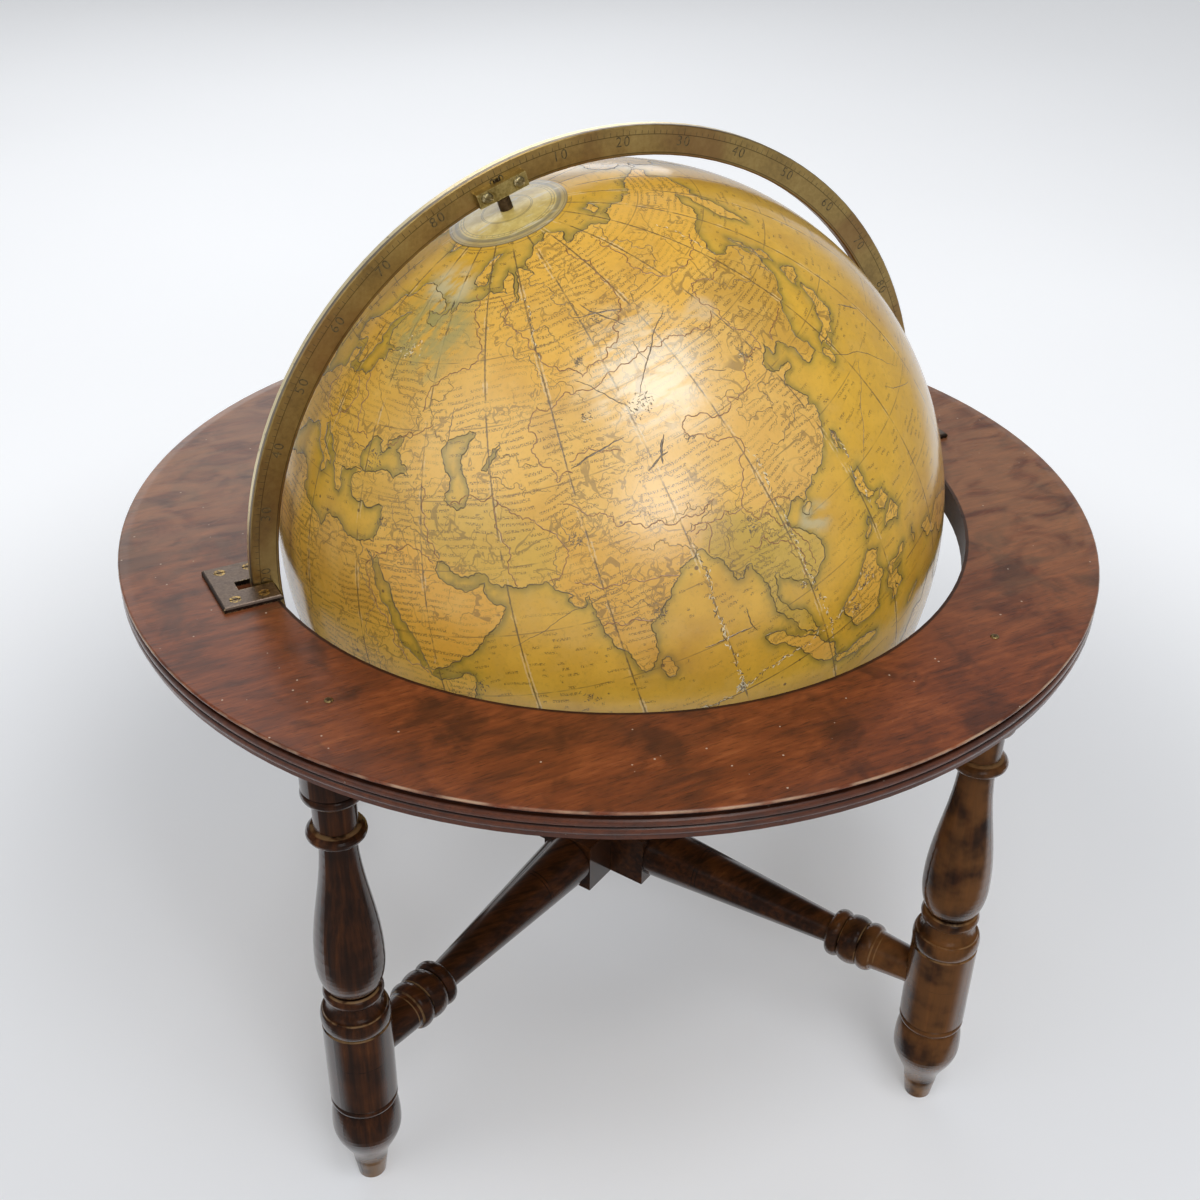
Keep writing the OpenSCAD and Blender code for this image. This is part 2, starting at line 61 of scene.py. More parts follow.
def addNode(kind, *values, tree=None, ramp=None, named=None, **settings):
    # A kind in capitals is an operation of a math node. The values go to the open inputs in order, and
    # the named ones to the inputs of that name. The node comes into the tree that is given, or else into
    # the tree of its first linked value.
    named = named or {}
    if kind.isupper():
        kind, settings["operation"] = "ShaderNodeMath", kind
    tree = tree or next(v.id_data for v in (*values, *named.values()) if hasattr(v, "id_data"))
    made = tree.nodes.new(kind)
    for name, setting in settings.items():
        setattr(made, name, setting)
    pairs = list(zip([s for s in made.inputs if s.enabled], values))
    for socket, value in pairs + [(made.inputs[name], value) for name, value in named.items()]:
        if hasattr(value, "id_data"):
            link(value, socket)
        elif value is not None:
            socket.default_value = colour(value) if isinstance(value, str) and value[:1] == "#" else value
    if ramp:
        steps = made.color_ramp.elements
        steps[0].position, steps[-1].position = ramp[0][0], ramp[-1][0]
        for place, _ in ramp[1:-1]:
            steps.new(place)
        for step, (_, shade) in zip(steps, ramp):
            step.color = colour(shade)
    return made


def link(value, socket):
    if isinstance(value, bpy.types.Node):
        value = next(s for s in value.outputs if s.enabled)
    socket.id_data.links.new(value, socket)


def chain(operation, first, *rest):
    # joins any number of values by one operation
    for value in rest:
        first = addNode(operation, first, value)
    return first


def product(*factors):
    return chain("MULTIPLY", *factors)


def smoothStep(value, low, high, to=(0.0, 1.0)):
    # 0 below low and 1 above high, or the other way round when low is the larger
    return addNode(rangeNode, value, low, high, *to, interpolation_type="SMOOTHSTEP")


def band(value, centre, half):
    # 1 on a line at centre, 0 beyond half to both sides
    return smoothStep(addNode("ABSOLUTE", addNode("SUBTRACT", value, centre)), half, half * 0.45)


def cloud(place, sizes, turn=0.0, **noiseInputs):
    # noise whose features are sizes mm long along the object's axes, turned about Z by turn degrees
    x, y, z = sizes if isinstance(sizes, tuple) else (sizes, sizes, sizes)
    mapped = addNode("ShaderNodeMapping", place, vector_type="POINT", named={
        "Rotation": (0, 0, math.radians(turn)), "Scale": (1000 / x, 1000 / y, 1000 / z)})
    return addNode(noiseNode, mapped, named={"Scale": 1.0, **noiseInputs})


def patchy(place, sizes, low, high, turn=0.0, **noiseInputs):
    # the same noise, cut off below low and full above high
    return smoothStep(cloud(place, sizes, turn, **noiseInputs), low, high)


def glaze(under, tone, *shares):
    # a tone laid over a colour, as strong as the product of its shares
    return addNode(mixNode, product(*shares), under, tone, data_type="RGBA")


def lengthOf(*parts):
    return addNode(vectorNode, addNode(xyzNode, *parts), operation="LENGTH")


def edgeShare(place, reach, low, high, inside=True):
    # rises on the ridges within reach m, or with inside off in the hollows
    lit = addNode("ShaderNodeAmbientOcclusion", tree=place.id_data, samples=6, only_local=True, inside=inside,
                  named={"Distance": reach})
    return smoothStep(lit.outputs["AO"], low, high)


def startMaterial(name, **shaderInputs):
    material = bpy.data.materials.new(name)
    material.use_nodes = True
    for socketName, value in shaderInputs.items():
        material.node_tree.nodes["Principled BSDF"].inputs[socketName.replace("_", " ")].default_value = value
    return material, addNode("ShaderNodeTexCoord", tree=material.node_tree).outputs["Object"]


def finishMaterial(material, tone, height=None, strength=0.3, depth=0.0002, **driven):
    # the colour, a relief depth m deep where height is given, and whatever else a pattern drives
    driven["Base_Color"] = tone
    if height:
        driven["Normal"] = addNode("ShaderNodeBump", named={
            "Strength": strength, "Distance": depth, "Height": height})
    for socketName, value in driven.items():
        link(value, material.node_tree.nodes["Principled BSDF"].inputs[socketName.replace("_", " ")])
    return material


shot = {"target": (0.0056, 0.0106, 0.1896), "distance": 0.7819, "azimuth": -28.28, "elevation": 33.76,
        "roll": 1.07, "lens": 46.59, "sensor": 36, "shiftX": -0.006, "shiftY": 0.033}


def placeCamera():
    a, e, r = (math.radians(shot[k]) for k in ("azimuth", "elevation", "roll"))
    back = Vector((math.sin(a) * math.cos(e), -math.cos(a) * math.cos(e), math.sin(e)))
    right = Vector((math.cos(a), math.sin(a), 0))
    up = back.cross(right)
    right, up = math.cos(r) * right + math.sin(r) * up, math.cos(r) * up - math.sin(r) * right
    data = bpy.data.cameras.new("photoCamera")
    data.lens, data.sensor_width = shot["lens"], shot["sensor"]
    data.shift_x, data.shift_y = shot["shiftX"], shot["shiftY"]
    data.clip_start, data.clip_end = 0.02, 50
    camera = bpy.data.objects.new("photoCamera", data)
    place = Matrix((right, up, back)).transposed().to_4x4()
    place.translation = Vector(shot["target"]) + back * shot["distance"]
    camera.matrix_world = place
    bpy.context.scene.collection.objects.link(camera)
    bpy.context.scene.camera = camera


studio = {"aim": (0, 0, 0.25), "world": "#e9e9e9", "worldLevel": 0.45,
          "lamps": {  # azimuth, elevation, distance, size in m, watts
              "windowLamp": (-92, 60, 1.35, 0.56, 6.2),
              "fillLamp": (-170, 36, 2.0, 1.4, 7.4),
              "lowLamp": (-101, 28, 1.3, 0.44, 4.2),
              "backLamp": (74, 30, 2.2, 1.5, 10.0)}}


def placeLamps():
    for name, (azimuth, elevation, distance, size, watts) in studio["lamps"].items():
        a, e = math.radians(azimuth), math.radians(elevation)
        way = Vector((math.cos(a) * math.cos(e), math.sin(a) * math.cos(e), math.sin(e)))
        data = bpy.data.lights.new(name, "AREA")
        data.shape, data.size, data.energy = "SQUARE", size, watts
        lamp = bpy.data.objects.new(name, data)
        lamp.location = Vector(studio["aim"]) + way * distance
        lamp.rotation_euler = way.to_track_quat("Z", "Y").to_euler()
        bpy.context.scene.collection.objects.link(lamp)
    world = bpy.data.worlds.new("paleStudio")
    world.use_nodes = True
    background = world.node_tree.nodes["Background"].inputs
    background["Color"].default_value = colour(studio["world"])
    background["Strength"].default_value = studio["worldLevel"]
    bpy.context.scene.world = world


# in m, and the glow at each of the radii: near, rising to middle, and falling to far
floor = {"flat": (0.6, 1.6, 3.2), "cove": 1.5, "coveSteps": 12, "height": 3.0, "sides": 96,
         "glowNear": 0.185, "glowMiddle": 0.50, "glowFar": 0.40, "glowRadii": (0.30, 0.74, 1.0, 2.2)}


def layFloor():
    # a round floor that curves up all the way round, so that every side has the same plain ground
    profile = [(r, 0.0) for r in floor["flat"]]
    for i in range(1, floor["coveSteps"] + 1):
        t = math.radians(90 * i / floor["coveSteps"])
        profile.append((floor["flat"][-1] + floor["cove"] * math.sin(t), floor["cove"] * (1 - math.cos(t))))
    profile.append((profile[-1][0], floor["height"]))
    n = floor["sides"]
    turns = [2 * math.pi * i / n for i in range(n)]
    points = [(0, 0, 0)] + [(r * math.cos(t), r * math.sin(t), z) for r, z in profile for t in turns]
    faces = [(0, 1 + i, 1 + (i + 1) % n) for i in range(n)]
    for k in range(len(profile) - 1):
        a, b = 1 + k * n, 1 + (k + 1) * n
        faces += [(a + i, b + i, b + (i + 1) % n, a + (i + 1) % n) for i in range(n)]
    mesh = bpy.data.meshes.new("paleFloor")
    mesh.from_pydata(points, [], faces)
    mesh.shade_smooth()
    # Matt backdrop paper: an even pale grey with hardly any tone, and no shine
    material, place = startMaterial("mattPaperBackdrop", Roughness=0.9, Specular_IOR_Level=0.2,
                                    Emission_Color=colour("#fbfdff"))
    tone = addNode(noiseNode, place, named={"Scale": 1.2, "Detail": 2.0})
    shade = addNode(rampNode, tone, ramp=[(0.3, "#d1d3d7"), (0.7, "#d7d9dd")])
    # the sweep of paper also glows a little, so that it reads as pale as the ground round the object
    flat = addNode(vectorNode, place, (1, 1, 0), operation="MULTIPLY")
    away = addNode(vectorNode, flat, operation="LENGTH")
    near, risen, leaving, far = floor["glowRadii"]
    rise = product(smoothStep(away, near, risen), floor["glowMiddle"] - floor["glowNear"])
    fall = product(smoothStep(away, leaving, far), floor["glowFar"] - floor["glowMiddle"])
    path = addNode("ShaderNodeLightPath", tree=material.node_tree).outputs
    seen = chain("ADD", path["Is Camera Ray"], path["Is Glossy Ray"], path["Is Transmission Ray"])
    glow = product(seen, chain("ADD", rise, floor["glowNear"], fall))
    mesh.materials.append(finishMaterial(material, shade, Emission_Strength=glow))
    thing = bpy.data.objects.new("paleFloor", mesh)
    bpy.context.scene.collection.objects.link(thing)


placeCamera()
placeLamps()
layFloor()
bpy.context.scene.view_settings.view_transform = "Standard"
print("camera, lamps and floor placed")

# sizes of the figure in mm, along and across the grain, and places on the ring in m
ringWood = {"streaks": (26, 3.0, 3.0), "figure": (30, 17, 17), "pores": (6, 0.6, 0.6), "patch": 30,
            "grainTurn": -18, "figureTurn": -27, "dustSpacing": 9.0,
            "shades": [(0.26, "#442115"), (0.40, "#5b2e19"), (0.52, "#73391c"), (0.64, "#884825"),
                       (0.78, "#975b34")],
            "rim": (0.2165, 0.2185), "nosing": (0.2213, 0.2219), "shadedWall": (0.1652, 0.1646),
            "grooves": ((0.00285, 0.0016), (0.0075, 0.0007), (0.0111, 0.0007)), "front": (-0.474, -0.880, 0)}


def frenchPolishedMahogany():
    # Mahogany, steamed to a ring, shellac-polished and worn: streaky red-brown figure under a soft sheen
    s = ringWood
    material, place = startMaterial("frenchPolishedMahogany", Roughness=0.45, Coat_IOR=1.5,
                                    Specular_IOR_Level=0.2)
    x, y, z = addNode(axesNode, place).outputs
    streaks = cloud(place, s["streaks"], s["grainTurn"], Detail=5.0, Roughness=0.62, Distortion=0.5)
    figure = cloud(place, s["figure"], s["figureTurn"], Detail=3.0, Roughness=0.5, Distortion=1.1)
    pores = cloud(place, s["pores"], s["grainTurn"], Detail=2.0)
    dust = addNode("ShaderNodeTexVoronoi", place, named={"Scale": 1000 / s["dustSpacing"]})
    wood = addNode(rampNode, addNode(mixNode, 0.5, streaks, figure), ramp=s["shades"])
    dark = patchy(place, s["patch"], 0.50, 0.68, Detail=3.0, Roughness=0.6, Distortion=0.8)
    wood = glaze(wood, "#33180f", dark, 0.6)
    wood = glaze(wood, "#1f0e08", smoothStep(pores, 0.56, 0.68), 0.45)
    wood = glaze(wood, "#c9b6a2", smoothStep(dust.outputs["Distance"], 0.055, 0.035), 0.75)
    # the outer moulding: painted shade on its side, in a groove and in dark lines between two reeds, and a rubbed
    # nosing
    radius = lengthOf(x, y, 0.0)
    rim, shadedWall = smoothStep(radius, *s["rim"]), smoothStep(radius, *s["shadedWall"])
    # painted shade: the moulded side below the nosing darker than the top
    wood = glaze(wood, "#2e160c", rim, smoothStep(z, ringTopZ - 0.0014, ringTopZ - 0.0022), 0.6)
    # painted shade, near black, in the groove under the nosing and in the lines between the reeds
    grooves = chain("MAXIMUM", *[product(rim, band(z, ringTopZ - down, half)) for down, half in s["grooves"]])
    wood = glaze(wood, "#120806", grooves, 0.85)
    # the nosing rubbed pale, and the pale line is also a painted highlight along the edge
    wood = glaze(wood, "#b99c80", smoothStep(radius, *s["nosing"]), band(z, ringTopZ - 0.0004, 0.0009),
                 patchy(place, 16, 0.36, 0.66, Detail=5.0), 0.85)
    # a painted sheen: the sides and back of the ring, away from the front, paler in patches that follow the figure
    forward = addNode(vectorNode, place, s["front"], operation="DOT_PRODUCT")
    wood = glaze(wood, "#ad8660", smoothStep(forward, 0.15, -0.03), smoothStep(figure, 0.25, 0.6), 0.34)
    # painted shade: the inner wall of the ring near black, as in the shadow of the gap round the ball
    wood = glaze(wood, "#150d09", shadedWall, 0.8)
    # the moulded edge is waxed, and shines where the light skims it
    skim = addNode("ShaderNodeLayerWeight", 0.5, tree=material.node_tree).outputs["Facing"]
    shine = addNode("ADD", product(smoothStep(skim, 0.42, 0.72), rim, 0.7), 0.24)
    shine = product(shine, addNode("SUBTRACT", 1.0, product(shadedWall, 0.85)))
    rough = addNode(rangeNode, cloud(place, (40, 14, 14), Detail=3.0), 0.35, 0.7, 0.18, 0.34)
    grain = addNode(mixNode, 0.5, streaks, pores)
    return finishMaterial(material, wood, grain, 0.25, Coat_Weight=shine, Coat_Roughness=rough)


turnedWood = {
    "grainLong": 60, "grainAcross": 2.6, "dimGloss": 0.04, "glossFrom": 0.40, "glossTo": 0.58,
    "shades": [(0.28, "#120804"), (0.45, "#28150a"), (0.60, "#422410"), (0.78, "#673c1d")],
    # heights on a leg and places along a stretcher: edges rubbed pale, and painted highlights with them, and lines
    # scribed by the turner
    "legWornHighlit": (0.0515, 0.0562, 0.1023, 0.1112, 0.1240, 0.2086, 0.2142, 0.2303), "legScribed": (0.0830,),
    "barWornHighlit": (0.1378, 0.1450, 0.1545, 0.1618, 0.1640), "barScribed": (0.0625, 0.0645),
    "lineHalf": 0.0004, "footTop": 0.030, "paleLeg": (0.469, -0.883, 0)}


def turnedMahogany(name, turn, upright):
    # Mahogany turned on a lathe, stained and waxed: painted shade near black in the grooves, and the beads rubbed
    # pale, partly as painted highlights
    s = turnedWood
    material, place = startMaterial(name, Roughness=0.5, Coat_Roughness=0.12, Coat_IOR=1.75,
                                    Specular_IOR_Level=0.06)
    z = addNode(axesNode, place).outputs["Z"]
    across, long = s["grainAcross"], s["grainLong"]
    sizes = (across, across, long) if upright else (long, across, across)
    grain = cloud(place, sizes, -turn, Detail=5.0, Roughness=0.6, Distortion=0.4)
    blotch = cloud(place, 16, Detail=3.0)
    wood = addNode(rampNode, addNode(mixNode, 0.42, grain, blotch), ramp=s["shades"])
    # painted shade: the hollows darkened near black, deeper where they are more closed in
    wood = glaze(wood, "#0d0706", edgeShare(place, 0.004, 0.85, 0.35, inside=False), 0.85)
    # the ridges rubbed pale, partly wear and partly a painted highlight on them
    wood = glaze(wood, "#7d5f43", edgeShare(place, 0.0016, 0.62, 0.25),
                 patchy(place, 5, 0.44, 0.64, Detail=3.0), 0.55)
    # wax shines where the light skims it, and hardly at all face on
    skim = addNode("ShaderNodeLayerWeight", 0.5, tree=material.node_tree).outputs["Facing"]
    gloss = smoothStep(skim, s["glossFrom"], s["glossTo"], to=(s["dimGloss"], 1.0))
    t = math.radians(turn)
    run = z if upright else addNode("ABSOLUTE", addNode(
        vectorNode, place, (math.cos(t), math.sin(t), 0), operation="DOT_PRODUCT"))
    broken = patchy(place, 6, 0.34, 0.56, Detail=4.0)
    # lines rubbed pale at the edges of the turning, partly wear and partly painted highlights, and dark scribed
    # lines
    for kind, tone, strength in (("WornHighlit", "#92734f", 0.6), ("Scribed", "#0c0604", 0.8)):
        places = s[("leg" if upright else "bar") + kind]
        lines = chain("MAXIMUM", *[band(run, at, s["lineHalf"]) for at in places])
        wood = glaze(wood, tone, lines, broken, strength)
    wood = glaze(wood, "#80603f", smoothStep(z, s["footTop"], 0.006), 0.85, smoothStep(blotch, 0.30, 0.56))
    # the front right leg has kept less of its stain
    toLeg = addNode(vectorNode, place, s["paleLeg"], operation="DOT_PRODUCT")
    wood = glaze(wood, "#8a5c30", smoothStep(toLeg, 0.12, 0.17), smoothStep(blotch, 0.3, 0.6), 0.38)
    return finishMaterial(material, wood, grain, 0.2, Coat_Weight=gloss)


scale = {"outer": 0.1707, "midLine": 0.1669, "innerLine": 0.1595, "lineHalf": 0.00022, "faceHalf": 0.0022}


def lacqueredBrass():
    # Cast and filed brass under an old browned lacquer: olive face, bright where the lacquer is rubbed off
    material, place = startMaterial("lacqueredBrass", Metallic=1.0, Coat_Weight=0.25, Coat_Roughness=0.3)
    x, y, z = addNode(axesNode, addNode("ShaderNodeMapping", place, vector_type="POINT", named={
        "Location": (0, 0, -centreZ)})).outputs
    radius, outer = lengthOf(x, 0.0, z), scale["outer"]
    fine = cloud(place, 2.2, Detail=4.0, Roughness=0.65)
    metal = addNode(rampNode, addNode(mixNode, 0.4, cloud(place, 22, Detail=4.0, Roughness=0.6), fine),
                    ramp=[(0.3, "#705b36"), (0.5, "#957c48"), (0.72, "#b0995f")])
    metal = glaze(metal, "#7a5634", patchy(place, 55, 0.44, 0.60, Detail=3.0, Distortion=0.5), 0.55)
    inner = scale["innerLine"]
    metal = glaze(metal, "#6a4f2c", smoothStep(radius, inner + 0.0002, inner - 0.0003), 0.45)
    lines = chain("MAXIMUM", *[band(radius, at, scale["lineHalf"]) for at in (scale["midLine"], inner)])
    metal = glaze(metal, "#2a2110", lines, 0.7)
    # the outer rim has a dull grey skin, and its two corners are worn to bright metal, painted near white as a
    # highlight along the edge
    metal = glaze(metal, "#6f665c", smoothStep(radius, outer - 0.0003, outer - 0.0001), 0.75)
    metal = glaze(metal, "#f3e2b4", smoothStep(radius, outer - 0.0006, outer - 0.0003),
                  smoothStep(addNode("ABSOLUTE", y), scale["faceHalf"] - 0.0004, scale["faceHalf"]),
                  smoothStep(fine, 0.22, 0.46), 0.9)
    rough = addNode(rangeNode, fine, 0.3, 0.7, 0.32, 0.5)
    return finishMaterial(material, metal, fine, 0.15, 0.0001, Roughness=rough)


def patinatedMetal(name, dark, light, rubbed, roughness, faceZ=None):
    # Brass or iron with a grown brown skin: mottled and dull, lighter where screws and edges were handled
    material, place = startMaterial(name, Metallic=1.0)
    mottle = cloud(place, 5, Detail=4.0, Roughness=0.65)
    fine = cloud(place, 0.9, Detail=3.0)
    mixed = addNode(mixNode, 0.4, mottle, fine)
    metal = addNode(rampNode, mixed, ramp=[(0.32, dark), (0.66, light)])
    if faceZ:  # the bevels below the top face are darker
        z = addNode(axesNode, place).outputs["Z"]
        metal = glaze(metal, "#241c18", smoothStep(z, faceZ - 0.0001, faceZ - 0.0005), 0.8)
    metal = glaze(metal, rubbed, edgeShare(place, 0.0012, 0.60, 0.25), smoothStep(fine, 0.35, 0.6))
    rough = addNode(rangeNode, mottle, 0.3, 0.7, roughness - 0.08, roughness + 0.12)
    return finishMaterial(material, metal, mixed, 0.3, 0.0001, Roughness=rough)


def roughBody(name, dark, light, size, roughness):
    # Plaster, pasted paper or raw pine, all unseen inside the ball: matt, with a broken fibrous tone
    material, place = startMaterial(name, Roughness=roughness)
    tone = cloud(place, size, Detail=5.0, Roughness=0.65)
    shade = addNode(rampNode, tone, ramp=[(0.3, dark), (0.7, light)])
    return finishMaterial(material, shade, tone, 0.3, 0.0004)


# the disc's printed circles, its ring of ticks and its grey ring, as radii in m
hourDisc = {"lean": 19, "lines": (0.0240, 0.0198, 0.0186, 0.0108, 0.0102), "lineHalf": 0.00028,
            "ticks": 24 * 4, "tickLow": 0.0186, "tickHigh": 0.0199, "greyRing": 0.0216, "edge": 0.0242}


def varnishedCapPaper():
    # Printed paper disc under varnish, at each pole: greenish yellow, a grey ring, whitish scuffs
    s = hourDisc
    material, place = startMaterial("varnishedCapPaper", Roughness=0.5, Coat_Weight=0.7, Coat_Roughness=0.25)
    centred = addNode("ShaderNodeMapping", place, named={"Location": (0, 0, -centreZ)}, vector_type="POINT")
    x, y, _ = addNode(axesNode, addNode("ShaderNodeMapping", centred, vector_type="POINT", named={
        "Rotation": (0, math.radians(s["lean"]), 0)})).outputs
    radius = lengthOf(x, y, 0.0)
    tone = cloud(place, 6, Detail=5.0, Roughness=0.65)
    paper = addNode(rampNode, tone, ramp=[(0.3, "#b89d54"), (0.5, "#d0b868"), (0.7, "#dfcd8e")])
    paper = glaze(paper, "#9a8456", smoothStep(radius, 0.0212, 0.0222), 0.6)
    paper = glaze(paper, "#656150", band(radius, s["greyRing"], 0.0013), smoothStep(tone, 0.25, 0.5), 0.7)
    turn = addNode("ARCTAN2", y, x)
    near = addNode("PINGPONG", product(turn, s["ticks"] / (2 * math.pi)), 1.0)
    tick = product(smoothStep(near, 0.16, 0.07), smoothStep(radius, s["tickLow"], s["tickLow"] + 0.0002),
                   smoothStep(radius, s["tickHigh"], s["tickHigh"] - 0.0002))
    marks = chain("MAXIMUM", *[band(radius, at, s["lineHalf"]) for at in s["lines"]], tick)
    paper = glaze(paper, "#4f4632", marks, 0.5)
    paper = glaze(paper, "#cfc9b4", patchy(place, (14, 3, 8), 0.56, 0.7, 20, Detail=4.0), 0.6)
    paper = glaze(paper, "#5f5a50", smoothStep(radius, s["edge"], s["edge"] + 0.0007), 0.6)
    return finishMaterial(material, paper, tone, 0.25)


plaster = roughBody("handLaidPlaster", "#cfc6b4", "#ded7c8", 3, 0.9)
pastedPaper = roughBody("pastedPaperShell", "#8d7a5c", "#b3a07e", (12, 12, 4), 0.92)
rawPine = roughBody("sawnPine", "#b88d55", "#d3ab72", (3, 3, 60), 0.8)
finishes = {
    frenchPolishedMahogany(): ["horizon_ring"],
    turnedMahogany("waxedTurnedMahogany", 0, True): [
        "leg_front_left", "leg_front_right", "leg_back_right", "leg_back_left", "meridian_support"],
    turnedMahogany("waxedStretcherMahogany", 28, False): ["stretcher_lower"],
    turnedMahogany("waxedCrossbarMahogany", 118, False): ["stretcher_upper"],
    patinatedMetal("brownedBrassPlate", "#4b3f38", "#7f7064", "#e2c88c", 0.42, plateTopZ): [
        "notch_plate_north", "notch_plate_south"],
    patinatedMetal("brownedPlateScrew", "#463b34", "#7a6852", "#bd9f62", 0.45): [
        "notch_screws_north", "notch_screws_south"],
    patinatedMetal("turnedBrassScrew", "#554a32", "#978a62", "#d8caa0", 0.36): [
        "bracket_screws_north", "bracket_screws_south"],
    patinatedMetal("rustedIron", "#2e2420", "#66543e", "#9a8458", 0.5): [
        "leg_nails", "pole_pin_north", "pole_pin_south"],
    lacqueredBrass(): ["meridian_ring"],
    patinatedMetal("filedBrassBracket", "#6f5f35", "#b3a36c", "#e0d09c", 0.36): [
        "pole_bracket_north", "pole_bracket_south"],
    varnishedCapPaper(): ["polar_cap_north", "polar_cap_south"],
    plaster: ["plaster_coat"], pastedPaper: ["shell_north", "shell_south"], rawPine: ["axle_post"]}
for material, nodeNames in finishes.items():
    for nodeName in nodeNames:
        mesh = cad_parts[nodeName].data
        mesh.materials.clear()
        mesh.materials.append(material)
print("wood, metal and inner layers finished")

ball = {"radius": (paperHigh.z - paperLow.z) / 2, "centre": (0, 0, centreZ),
        "paper": 0.4 * mm, "poleHole": 2.8 * mm, "columns": 400, "rows": 214, "innerRows": 8,
        "lean": 19.0, "greenwich": 172.35, "northShift": 1.8}
ball["lastLatitude"] = 90 - math.degrees(math.asin(ball["poleHole"] / ball["radius"]))
mmPerDegree = math.radians(1) * ball["radius"] / mm

